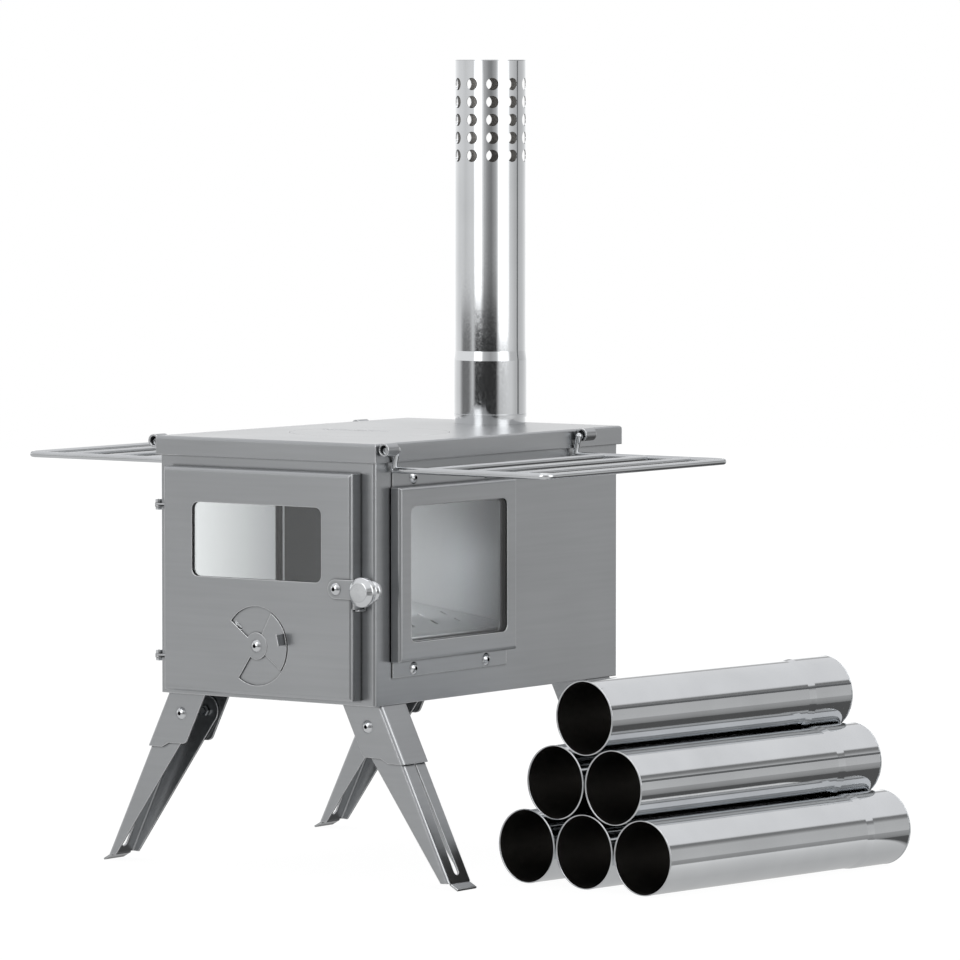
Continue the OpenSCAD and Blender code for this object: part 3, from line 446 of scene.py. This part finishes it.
def ceramic_glass(finish, name="ceramic_glass", tinted_along_y=None):
    """Heat-proof ceramic glass: clear and smooth. Lamps shine through it. Between the two places along Y
    given, a pane darkens to a grey tint towards the chimney: painted shade."""
    material, tree, output = new_material(name)
    path = add(tree, "ShaderNodeLightPath")
    position = add(tree, "ShaderNodeTexCoord").outputs["Object"]
    # Faint dull patches, three to 100 mm
    haze = add(tree, "ShaderNodeTexNoise", {"Vector": position, "Scale": 3 / (100 * MM), "Detail": 3.0})
    rough = add(tree, "ShaderNodeMapRange", {"Value": haze.outputs["Fac"], "From Min": 0.4, "From Max": 0.8,
                                             "To Min": 0.0, "To Max": 0.03})
    shader = add(tree, "ShaderNodeBsdfPrincipled", {
        "Base Color": linear(finish.glass_colour), "Roughness": rough.outputs["Result"],
        "IOR": 1.5, "Transmission Weight": 1.0})
    # Painted shade: the pane darkens towards its rear edge
    if tinted_along_y:
        depth = add(tree, "ShaderNodeSeparateXYZ", {"Vector": position})
        rear_share = add(tree, "ShaderNodeMapRange", {"Value": depth.outputs["Y"], "From Min": tinted_along_y[0],
                                                 "From Max": tinted_along_y[1]})
        tint = add(tree, "ShaderNodeMix", {
            "Factor": rear_share.outputs["Result"], "A": linear(finish.glass_colour),
            "B": linear(finish.rear_shade_colour)}, data_type="RGBA")
        tree.links.new(tint.outputs["Result"], shader.inputs["Base Color"])
    clear = add(tree, "ShaderNodeBsdfTransparent")
    mix = add(tree, "ShaderNodeMixShader", {0: path.outputs["Is Shadow Ray"], 1: shader.outputs["BSDF"],
                                            2: clear.outputs["BSDF"]})
    tree.links.new(mix.outputs["Shader"], output.inputs["Surface"])
    return material


def fibre_gasket(finish):
    """Woven glass-fibre gasket in graphite black: matt, with knots of thread about 1.5 mm apart."""
    material, tree, output = new_material("fibre_gasket")
    position = add(tree, "ShaderNodeTexCoord").outputs["Object"]
    threads = add(tree, "ShaderNodeTexVoronoi", {"Vector": position, "Scale": 1 / (1.5 * MM)})
    tone = toned(tree, threads.outputs["Distance"], finish.gasket_colour, 1.4, 0.7)
    bump = add(tree, "ShaderNodeBump", {"Height": threads.outputs["Distance"], "Strength": 0.6,
                                        "Distance": 0.3 * MM})
    shader = add(tree, "ShaderNodeBsdfPrincipled", {
        "Base Color": tone, "Roughness": 0.92, "Normal": bump.outputs["Normal"]})
    tree.links.new(shader.outputs["BSDF"], output.inputs["Surface"])
    return material


# Tubes and the firebox: where each lies, and which of its faces look inwards


def tube_length():
    """Length of every section, read from the one that stands upright."""
    low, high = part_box("flue_perforated")
    return high.z - low.z


def tube_frame(node):
    """The middle of a tube's plain end and the direction from there to its socket end."""
    low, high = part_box(node)
    if node == "flue_perforated":
        return np.array(((low.x + high.x) / 2, (low.y + high.y) / 2, high.z)), np.array((0.0, 0.0, -1.0))
    along = Vector((math.sin(STACK_TURN), math.cos(STACK_TURN), 0))
    middle = (low + high) / 2
    return np.array(middle - along * tube_length() / 2), np.array(along)


def outer_radius(distance):
    """Outside radius of a tube at a distance from its plain end: plain, then the cone, then the socket."""
    cone_from = tube_length() - SOCKET_L - CONE_L
    rise = np.clip((distance - cone_from) / CONE_L, 0, 1)
    return TUBE_R + (SOCKET_R - TUBE_R) * rise


def seam_strip(node, angle, width, height):
    """The weld seam of a rolled tube: a half-ellipse section carried along one line of the tube, which
    follows the tube's plain wall, cone and socket. Its long edges are sunk into the wall."""
    rows, columns = 240, 9
    end_gap, sunk = 0.8 * MM, 0.03 * MM
    base, along = tube_frame(node)
    standing = abs(along[2]) > 0.5
    side = np.array((1.0, 0.0, 0.0) if standing else (0.0, 0.0, 1.0))
    other = np.cross(along, side)
    distance = np.linspace(end_gap, tube_length() - end_gap, rows)
    section = np.linspace(0, np.pi, columns)
    spread = angle + np.cos(section) * width / 2 / TUBE_R
    rise = np.sin(section) * height - sunk
    radius = outer_radius(distance)[:, None] + rise[None, :]
    directions = np.cos(spread)[:, None] * side + np.sin(spread)[:, None] * other
    grid = base + distance[:, None, None] * along + radius[:, :, None] * directions[None]
    return surface(f"{node}_seam", grid)


def rounded_rim(node, name, distance, radius, rim_radius):
    """A tube end's rounded rim: a small circle carried round the tube's wall."""
    base, along = tube_frame(node)
    angle = np.linspace(0, 2 * np.pi, 12, endpoint=False)
    profile = np.column_stack([radius + rim_radius * np.cos(angle), distance + rim_radius * np.sin(angle)])
    return outward(turned(name, profile, base, along, ring=True))


def box_inside(node):
    """Marks the faces of a sheet box that lie inside its walls: their centres are nearly a sheet's thickness
    within its bounds, to the sides and upwards."""
    low, high = (np.array(corner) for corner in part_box(node))
    centres = face_values(frame["nodes"][node].data, "center")
    margin = 0.9 * SHEET
    within = (centres > low + margin) & (centres < high - margin)
    return within[:, 0] & within[:, 1] & (centres[:, 2] > low[2] + margin)


def tube_inside(node):
    """Marks the faces of a tube that look at its axis: their normals point against the way out from it."""
    base, along = tube_frame(node)
    mesh = frame["nodes"][node].data
    offset = face_values(mesh, "center") - base
    outwards = offset - np.outer(offset @ along, along)
    outwards /= np.linalg.norm(outwards, axis=1, keepdims=True)
    return np.einsum("ij,ij->i", face_values(mesh, "normal"), outwards) < -0.5


# Operators: one for each piece or group of like pieces, and one for the stage


class STOVE_OT_satin_sheet(bpy.types.Operator):
    """Gives the firebox, lid, door, frames, legs and brackets their satin finish, and the firebox's inside
    and the grate their mill finish"""

    bl_idname = "stove.satin_sheet"
    bl_label = "Satin sheet"

    # Painted shade darkens the firebox's inside in front of the first place along Y, and is gone at the
    # second
    shaded_along_y = (45 * MM, 110 * MM)

    def execute(self, context):
        finish = context.scene.stove_finish
        satin = satin_stainless(finish)
        for node in SATIN_NODES:
            paint(frame["nodes"][node], satin)
        inside = unbrushed_sheet(finish, "unbrushed_sheet", self.shaded_along_y)
        paint_two(frame["nodes"]["firebox"], satin, inside, box_inside("firebox"))
        paint(frame["nodes"]["grate"], unbrushed_sheet(finish, "grate_sheet"))
        return {"FINISHED"}


class STOVE_OT_polished_steel(bpy.types.Operator):
    """Gives the chimney, spare tubes, racks and screws their polish, and the tubes their dull inside"""

    bl_idname = "stove.polished_steel"
    bl_label = "Polished steel"

    def execute(self, context):
        finish = context.scene.stove_finish
        polish = polished_stainless("polished_stainless", finish.polish_colour, (0.05, 0.10))
        dull = dull_inner_steel(finish)
        rods = drawn_rod(finish)
        screws = turned_screw(finish)
        paint(frame["nodes"]["flue_collar"], polish)
        for node in TUBES:
            paint_two(frame["nodes"][node], polish, dull, tube_inside(node))
        for node in RACK_NODES:
            paint(frame["nodes"][node], rods)
        for node in SCREW_NODES:
            paint(frame["nodes"][node], screws)
        return {"FINISHED"}


class STOVE_OT_windows(bpy.types.Operator):
    """Gives the glass of door and side windows and the gaskets their materials"""

    bl_idname = "stove.windows"
    bl_label = "Windows"

    def execute(self, context):
        finish = context.scene.stove_finish
        gasket = fibre_gasket(finish)
        low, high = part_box("window_glass_left")
        side_glass = ceramic_glass(finish, "side_window_glass", (low.y, high.y))
        paint(frame["nodes"]["door_glass"], ceramic_glass(finish))
        for node in SIDE_GLASS_NODES:
            paint(frame["nodes"][node], side_glass)
        for node in GASKET_NODES:
            paint(frame["nodes"][node], gasket)
        return {"FINISHED"}


class STOVE_OT_tube_seams(bpy.types.Operator):
    """Lays a weld seam along each chimney section"""

    bl_idname = "stove.tube_seams"
    bl_label = "Tube seams"

    # Where each tube's seam lies round it, in degrees
    seam_angles = {"flue_perforated": 5, "spare_flue_1": 200, "spare_flue_2": 310, "spare_flue_3": 250,
                   "spare_flue_4": 190, "spare_flue_5": 76, "spare_flue_6": 72}

    def execute(self, context):
        sizes = context.scene.stove_fittings
        steel = welded_seam(context.scene.stove_finish)
        for node, angle in self.seam_angles.items():
            seam = seam_strip(node, math.radians(angle), sizes.seam_width, sizes.seam_height)
            place(seam, steel, body_of(node))
        return {"FINISHED"}


class STOVE_OT_tube_rims(bpy.types.Operator):
    """Rounds the two rims of each chimney section"""

    bl_idname = "stove.tube_rims"
    bl_label = "Tube rims"

    def execute(self, context):
        rim = context.scene.stove_fittings.rim_radius
        steel = smoothed_rim(context.scene.stove_finish)
        ends = {"plain": (rim, TUBE_R), "socket": (tube_length() - rim, SOCKET_R)}
        for node in TUBES:
            for end, (distance, radius) in ends.items():
                made = rounded_rim(node, f"{node}_{end}_rim", distance, radius - TUBE_WALL / 2, rim)
                place(made, steel, body_of(node))
        return {"FINISHED"}


class STOVE_OT_knob(bpy.types.Operator):
    """Turns the latch's knob: base, neck, ring and chamfered face, with rounded edges"""

    bl_idname = "stove.knob"
    bl_label = "Latch knob"

    # The part in front of the arm, as shares of the ring's radius and of its own length
    front_shares = ((0.0, 0.0), (0.7, 0.0), (0.7, 0.12), (0.5, 0.2), (0.5, 0.42), (1.0, 0.6), (1.0, 0.82),
                    (0.68, 0.985), (0.6, 0.99), (0.0, 1.0))
    # The part behind it: the shank through the arm, and the flange that holds it
    shank = 2.5 * MM
    flange = 1.9 * shank
    flange_thickness = 1 * MM
    flange_round = 0.3 * MM

    def execute(self, context):
        low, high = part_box("latch_knob")
        x, z = (low.x + high.x) / 2, (low.z + high.z) / 2
        arm_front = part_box("latch_arm")[0].y
        ring = (high.z - low.z) / 2
        length = arm_front - low.y
        front = fillet([(r * ring, h * length) for r, h in self.front_shares],
                       context.scene.stove_fittings.knob_round)
        back = arm_front - high.y
        held = back + self.flange_thickness
        rear = fillet([(0.0, back), (self.flange, back), (self.flange, held), (self.shank, held),
                       (self.shank, 0.0)], self.flange_round)
        profile = np.vstack([rear, front[1:]])
        steel = turned_knob(context.scene.stove_finish)
        made = outward(turned("latch_knob_turned", profile, (x, arm_front, z), (0, -1, 0)))
        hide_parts("latch_knob")
        place(made, steel, "latch")
        return {"FINISHED"}


class STOVE_OT_stage(bpy.types.Operator):
    """Sets up the pale floor, the lamps, the studio round them and the camera"""

    bl_idname = "stove.stage"
    bl_label = "Stage"

    camera_turn = math.radians(35.864)
    camera_tilt = math.radians(3.542)
    camera_distance = 5.1458
    camera_aim = (0.21396, -0.171, 0.33147)
    camera_lens = 243.75
    # How bright the room and the floor are for the light that they give the object
    room_light = 0.75
    # The white sheet under the pile: where its edges begin and end across and along the pile, half the pile's
    # width, and the sheet's brightness there, dimmed by a painted shadow of the pile, and at its edge
    sheet_across = (0.15, 0.158)
    sheet_along = (0.17, 0.18)
    pile_half_width = 0.09
    sheet_brightness = (0.55, 0.82)

    # Round the chimney stand panels that only reflections show. Each has its place in degrees to the
    # camera's right, its half width in degrees and the share of it that is full, its distance, its lower and
    # upper edge, the heights at which it begins and is full, and its strength.
    panels = {"left_box": (-40, 18, 0.3, 2.2, 0.36, 2.6, 0.37, 0.395, 2.4),
              "right_box": (43, 25, 0.3, 2.2, 0.32, 2.6, 0.33, 0.352, 2.4),
              "dark_card": (-15, 46, 0.7, 2.3, 0.2, 0.44, 0.43, 0.33, 0.03),
              "left_card": (-85, 34, 0.3, 2.4, 0.2, 0.4, 0.39, 0.34, 0.2)}

    # Degrees from the camera's side of the room, positive to its right, and how bright the steel sees the
    # walls there, at the horizon and well over it, and the floor far from the stove
    low_walls = ((-180, 1.25), (-142, 0.95), (-120, 0.8), (-105, 0.8), (-90, 0.7), (-77, 0.76), (-65, 0.82),
                 (-50, 0.78), (-30, 0.6), (-16, 0.45), (-6, 0.28), (3, 0.23), (12, 0.4), (22, 0.6), (56, 0.8),
                 (70, 0.8), (87, 0.6), (98, 0.56), (114, 0.62), (134, 0.76), (180, 1.25))
    high_walls = ((-180, 1.25), (-110, 0.95), (-60, 0.95), (-30, 0.7), (0, 0.4), (40, 0.8), (80, 0.6),
                  (110, 0.52), (140, 0.7), (180, 1.25))
    ground = ((-180, 0.68), (40, 0.68), (75, 0.1), (145, 0.1), (180, 0.68))
    # Slopes of the line of sight, up to half, and the share of the walls' brightness there
    bands = ((-0.27, 0.5), (-0.12, 0.8), (-0.05, 1.0), (0.24, 1.0), (0.32, 0.45), (0.37, 0.4))
    overhead = (0.85, 0.85, 0.86, 1)

    def execute(self, context):
        scene = context.scene
        scene.view_settings.view_transform = "Standard"
        self.make_camera(scene)
        self.make_floor()
        self.make_lamps(scene)
        for name, numbers in self.panels.items():
            self.make_panel(name, *numbers)
        self.make_world(scene)
        return {"FINISHED"}

    def make_camera(self, scene):
        """Places the camera at the photograph's distance and angle: its turn round the stove and its tilt."""
        turn, tilt = self.camera_turn, self.camera_tilt
        forward = Vector((-math.sin(turn) * math.cos(tilt), math.cos(turn) * math.cos(tilt), -math.sin(tilt)))
        lens = bpy.data.cameras.new("camera")
        lens.lens = self.camera_lens
        lens.sensor_width = 36
        lens.clip_end = 200
        camera = bpy.data.objects.new("camera", lens)
        scene.collection.objects.link(camera)
        camera.location = Vector(self.camera_aim) - forward * self.camera_distance
        camera.rotation_mode = "QUATERNION"
        camera.rotation_quaternion = forward.to_track_quat("-Z", "Y")
        scene.camera = camera

    def make_floor(self):
        """A round floor just under the feet: rings of points round the middle, from 1 mm to 6 m."""
        rings, steps, drop = 40, 96, 0.2 * MM
        radius = np.linspace(1 * MM, 6.0, rings)
        angle = np.linspace(0, 2 * np.pi, steps, endpoint=False)
        grid = np.stack([np.outer(np.cos(angle), radius), np.outer(np.sin(angle), radius),
                         np.full((steps, rings), -drop)], axis=-1)
        floor = surface("floor", grid, wrap_u=True)
        paint(floor, self.floor_material())

    def floor_material(self):
        """White to the eye with a faint shadow, which ends 2 m away. Polished steel looks through it into the
        lower half of the room, which is made as pale as a floor, and sees only the sheet under the pile."""
        material, tree, output = new_material("white_floor")
        path = add(tree, "ShaderNodeLightPath")
        position = add(tree, "ShaderNodeTexCoord").outputs["Object"]
        away = add(tree, "ShaderNodeVectorMath", {0: position}, operation="LENGTH")
        fade = add(tree, "ShaderNodeMapRange", {"Value": away.outputs["Value"], "From Min": 0.6,
                                                "From Max": 2.0})
        white = add(tree, "ShaderNodeEmission", {"Color": (1, 1, 1, 1), "Strength": 1.08})
        lit = add(tree, "ShaderNodeBsdfDiffuse", {"Color": (0.9, 0.9, 0.9, 1)})
        near = add(tree, "ShaderNodeMixShader", {0: 0.88, 1: lit.outputs[0], 2: white.outputs[0]})
        seen = add(tree, "ShaderNodeMixShader", {0: fade.outputs["Result"], 1: near.outputs[0],
                                                 2: white.outputs[0]})
        pale = add(tree, "ShaderNodeEmission", {"Strength": self.room_light})
        on_sheet, brightness = self.pile_sheet(tree, position)
        sheet = add(tree, "ShaderNodeEmission", {"Strength": brightness})
        clear = add(tree, "ShaderNodeBsdfTransparent")
        mirrored = add(tree, "ShaderNodeMixShader", {0: on_sheet, 1: clear.outputs[0], 2: sheet.outputs[0]})
        unseen = add(tree, "ShaderNodeMixShader", {0: path.outputs["Is Glossy Ray"], 1: pale.outputs[0],
                                                   2: mirrored.outputs[0]})
        mix = add(tree, "ShaderNodeMixShader", {0: self.to_eye(tree, path), 1: unseen.outputs[0],
                                                2: seen.outputs[0]})
        tree.links.new(mix.outputs[0], output.inputs["Surface"])
        return material

    def to_eye(self, tree, path):
        """One where a ray leads to the camera, straight or through glass, else nothing."""
        made = add(tree, "ShaderNodeMath", {0: path.outputs["Is Camera Ray"],
                                            1: path.outputs["Is Transmission Ray"]}, operation="MAXIMUM")
        return made.outputs[0]

    def pile_sheet(self, tree, position):
        """Where the white sheet under the spare tubes lies, and how bright it is: it lies along the pile,
        reaches past it, and glows dimmer near it, a painted shadow of the pile."""
        low = np.min([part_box(tube)[0] for tube in SPARE_TUBES], axis=0)
        high = np.max([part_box(tube)[1] for tube in SPARE_TUBES], axis=0)
        from_pile = add(tree, "ShaderNodeVectorMath", {0: position, 1: [*(low + high)[:2] / 2, 0]},
                        operation="SUBTRACT")
        along_pile = add(tree, "ShaderNodeVectorRotate", {
            "Vector": from_pile.outputs[0], "Angle": STACK_TURN}, rotation_type="Z_AXIS")
        reach = add(tree, "ShaderNodeVectorMath", {0: along_pile.outputs[0]}, operation="ABSOLUTE")
        reach = add(tree, "ShaderNodeSeparateXYZ", {"Vector": reach.outputs[0]})
        within = []
        for side, (begins, ends) in (("X", self.sheet_across), ("Y", self.sheet_along)):
            made = add(tree, "ShaderNodeMapRange", {"Value": reach.outputs[side], "From Min": begins,
                                                    "From Max": ends, "To Min": 1.0, "To Max": 0.0})
            within.append(made.outputs["Result"])
        on_sheet = add(tree, "ShaderNodeMath", {0: within[0], 1: within[1]}, operation="MULTIPLY")
        # Painted shadow: the sheet's glow falls towards the pile
        darkest, brightest = self.sheet_brightness
        shaded = add(tree, "ShaderNodeMapRange", {
            "Value": reach.outputs["X"], "From Min": self.pile_half_width, "From Max": self.sheet_across[0],
            "To Min": darkest, "To Max": brightest})
        return on_sheet.outputs[0], shaded.outputs["Result"]

    def add_lamp(self, scene, name, kind, energy, location):
        """A lamp of one kind, with its energy in watts, at a place."""
        lamp = bpy.data.lights.new(name, kind)
        lamp.energy = energy
        made = bpy.data.objects.new(name, lamp)
        scene.collection.objects.link(made)
        made.location = location
        return made

    def make_lamps(self, scene):
        """A wide lamp overhead, and a small one in the firebox that shines on its back wall."""
        top = self.add_lamp(scene, "top_box", "AREA", 7, (-0.3, 0.3, 2.6))
        top.data.shape = "RECTANGLE"
        top.data.size = 1.6
        top.data.size_y = 1.6
        inside = self.add_lamp(scene, "firebox_lamp", "SPOT", 0.5, (-0.095, 0.06, 0.225))
        inside.data.spot_size = math.radians(110)
        inside.data.spot_blend = 0.6
        inside.data.shadow_soft_size = 10 * MM
        inside.rotation_euler = (math.pi / 2, 0, 0)
        inside.visible_glossy = False
        inside.visible_transmission = False

    def make_panel(self, name, turn, half, full, distance, low, top, begins, is_full, strength):
        """A curved upright panel: points at one distance from the chimney's axis, over a range of angles and
        of heights. It fades towards its sides and between two heights."""
        middle = self.camera_turn - math.pi / 2 + math.radians(turn)
        across = middle + np.radians(np.linspace(-half, half, 13))
        height = np.linspace(low, top, 5)
        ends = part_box("flue_perforated")
        axis = (ends[0] + ends[1]) / 2
        grid = np.empty((len(across), len(height), 3))
        grid[:, :, 0] = axis.x + distance * np.cos(across)[:, None]
        grid[:, :, 1] = axis.y + distance * np.sin(across)[:, None]
        grid[:, :, 2] = height
        edge = distance * math.sin(math.radians(half))
        made = surface(name, grid)
        paint(made, self.panel_material(name, (axis.x, axis.y, 0), middle, (edge * full, edge),
                                        (begins, is_full), strength))

    def panel_material(self, name, axis, middle, sides, heights, strength):
        """A glow for reflections only, full up to the first distance in sides from the panel's middle and
        gone at the second, and growing from the first to the second of the heights."""
        material, tree, output = new_material(name)
        path = add(tree, "ShaderNodeLightPath")
        position = add(tree, "ShaderNodeTexCoord").outputs["Object"]
        from_axis = add(tree, "ShaderNodeVectorMath", {0: position, 1: axis}, operation="SUBTRACT")
        turned_by = add(tree, "ShaderNodeVectorRotate", {
            "Vector": from_axis.outputs[0], "Angle": -middle}, rotation_type="Z_AXIS")
        parts = add(tree, "ShaderNodeSeparateXYZ", {"Vector": turned_by.outputs["Vector"]})
        sideways = add(tree, "ShaderNodeMath", {0: parts.outputs["Y"]}, operation="ABSOLUTE")
        fade = add(tree, "ShaderNodeMapRange", {
            "Value": sideways.outputs[0], "From Min": sides[0], "From Max": sides[1], "To Min": 1.0,
            "To Max": 0.0}, interpolation_type="SMOOTHSTEP")
        rise = add(tree, "ShaderNodeMapRange", {
            "Value": parts.outputs["Z"], "From Min": heights[0], "From Max": heights[1]},
            interpolation_type="SMOOTHSTEP")
        share = add(tree, "ShaderNodeMath", {0: fade.outputs["Result"], 1: rise.outputs["Result"]},
                    operation="MULTIPLY")
        shown = add(tree, "ShaderNodeMath", {0: share.outputs[0], 1: path.outputs["Is Glossy Ray"]},
                    operation="MULTIPLY")
        glow = add(tree, "ShaderNodeEmission", {"Color": (1, 1, 1, 1), "Strength": strength})
        clear = add(tree, "ShaderNodeBsdfTransparent")
        mix = add(tree, "ShaderNodeMixShader", {0: shown.outputs[0], 1: clear.outputs[0], 2: glow.outputs[0]})
        tree.links.new(mix.outputs[0], output.inputs["Surface"])
        return material

    def greys(self, tree, value, stops):
        """Grey as a value goes through stops, each a position and a brightness."""
        made = add(tree, "ShaderNodeValToRGB", {"Fac": value})
        elements = made.color_ramp.elements
        elements[0].position, elements[1].position = stops[0][0], stops[-1][0]
        for _ in stops[1:-1]:
            elements.new(0.5)
        for element, (position, brightness) in zip(elements, stops):
            element.position = position
            element.color = (brightness, brightness, brightness, 1)
        return made.outputs["Color"]

    def changing(self, tree, slope, begins, ends, lower, upper):
        """A colour that changes from the lower to the upper one between two slopes of the line of sight."""
        share = add(tree, "ShaderNodeMapRange", {"Value": slope, "From Min": begins, "From Max": ends})
        made = add(tree, "ShaderNodeMix", {"Factor": share.outputs["Result"], "A": lower, "B": upper},
                   data_type="RGBA")
        return made.outputs["Result"]

    def steel_room(self, tree):
        """The room as steel sees it: walls that change round the stove and darken towards the floor and the
        overhead box, whose edges are sharp, and the floor far away."""
        direction = add(tree, "ShaderNodeTexCoord").outputs["Generated"]
        turned_by = add(tree, "ShaderNodeVectorRotate", {
            "Vector": direction, "Angle": math.pi / 2 - self.camera_turn}, rotation_type="Z_AXIS")
        parts = add(tree, "ShaderNodeSeparateXYZ", {"Vector": turned_by.outputs["Vector"]})
        angle = add(tree, "ShaderNodeMath", {0: parts.outputs["Y"], 1: parts.outputs["X"]},
                    operation="ARCTAN2")
        turn = add(tree, "ShaderNodeMapRange", {"Value": angle.outputs[0], "From Min": -math.pi,
                                                "From Max": math.pi})
        low_room, high_room, ground = (
            self.greys(tree, turn.outputs["Result"], [(degrees / 360 + 0.5, grey) for degrees, grey in tones])
            for tones in (self.low_walls, self.high_walls, self.ground))
        slope = parts.outputs["Z"]
        round_room = self.changing(tree, slope, -0.02, 0.08, low_room, high_room)
        from_half = add(tree, "ShaderNodeMapRange", {"Value": slope, "From Min": -0.5, "From Max": 0.5})
        shares = self.greys(tree, from_half.outputs["Result"], [(z + 0.5, share) for z, share in self.bands])
        walls = darkened(tree, round_room, shares)
        with_ground = self.changing(tree, slope, -0.3, -0.28, ground, walls)
        return self.changing(tree, slope, 0.38, 0.42, with_ground, self.overhead)

    def make_world(self, scene):
        """A white room for the camera and for glass, an even one for the light on the object, and for steel
        one whose brightness changes round the stove."""
        world = bpy.data.worlds.new("white_studio")
        world.use_nodes = True
        scene.world = world
        tree = world.node_tree
        tree.nodes.clear()
        output = add(tree, "ShaderNodeOutputWorld")
        path = add(tree, "ShaderNodeLightPath")
        steel_sees = add(tree, "ShaderNodeBackground", {"Color": self.steel_room(tree), "Strength": 1.0})
        plain = add(tree, "ShaderNodeBackground", {"Color": (1, 1, 1, 1), "Strength": self.room_light})
        # Glass takes a little light, which the background seen through it makes up for
        bright = add(tree, "ShaderNodeMapRange", {"Value": path.outputs["Is Transmission Ray"], "To Min": 1.0,
                                                  "To Max": 1.4})
        white = add(tree, "ShaderNodeBackground", {"Color": (1, 1, 1, 1),
                                                   "Strength": bright.outputs["Result"]})
        unseen = add(tree, "ShaderNodeMixShader", {0: path.outputs["Is Glossy Ray"], 1: plain.outputs[0],
                                                   2: steel_sees.outputs[0]})
        mix = add(tree, "ShaderNodeMixShader", {0: self.to_eye(tree, path), 1: unseen.outputs[0],
                                                2: white.outputs[0]})
        tree.links.new(mix.outputs[0], output.inputs["Surface"])


class STOVE_PT_panel(bpy.types.Panel):
    """Lists the stove's pieces, with their sizes and colours"""

    bl_label = "Tent wood stove"
    bl_idname = "STOVE_PT_panel"
    bl_space_type = "VIEW_3D"
    bl_region_type = "UI"
    bl_category = "Stove"

    def draw(self, context):
        for group in (context.scene.stove_finish, context.scene.stove_fittings):
            for name in group.__annotations__:
                self.layout.prop(group, name)
        for operator in OPERATORS:
            self.layout.operator(operator.bl_idname)


GROUPS = {"stove_finish": StoveFinish, "stove_fittings": StoveFittings}
OPERATORS = (
    STOVE_OT_satin_sheet,
    STOVE_OT_polished_steel,
    STOVE_OT_windows,
    STOVE_OT_tube_seams,
    STOVE_OT_tube_rims,
    STOVE_OT_knob,
    STOVE_OT_stage,
)


def register():
    """Registers the groups, operators and panel, and gives each scene its groups."""
    for cls in (*GROUPS.values(), *OPERATORS, STOVE_PT_panel):
        bpy.utils.register_class(cls)
    for name, group in GROUPS.items():
        setattr(bpy.types.Scene, name, bpy.props.PointerProperty(type=group))


def unregister():
    """Takes back what register did."""
    for name in GROUPS:
        delattr(bpy.types.Scene, name)
    for cls in reversed((*GROUPS.values(), *OPERATORS, STOVE_PT_panel)):
        bpy.utils.unregister_class(cls)


def main():
    """Registers the classes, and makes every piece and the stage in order."""
    register()
    for operator in OPERATORS:
        getattr(bpy.ops.stove, operator.bl_idname.split(".")[1])()


if __name__ == "__main__":
    main()
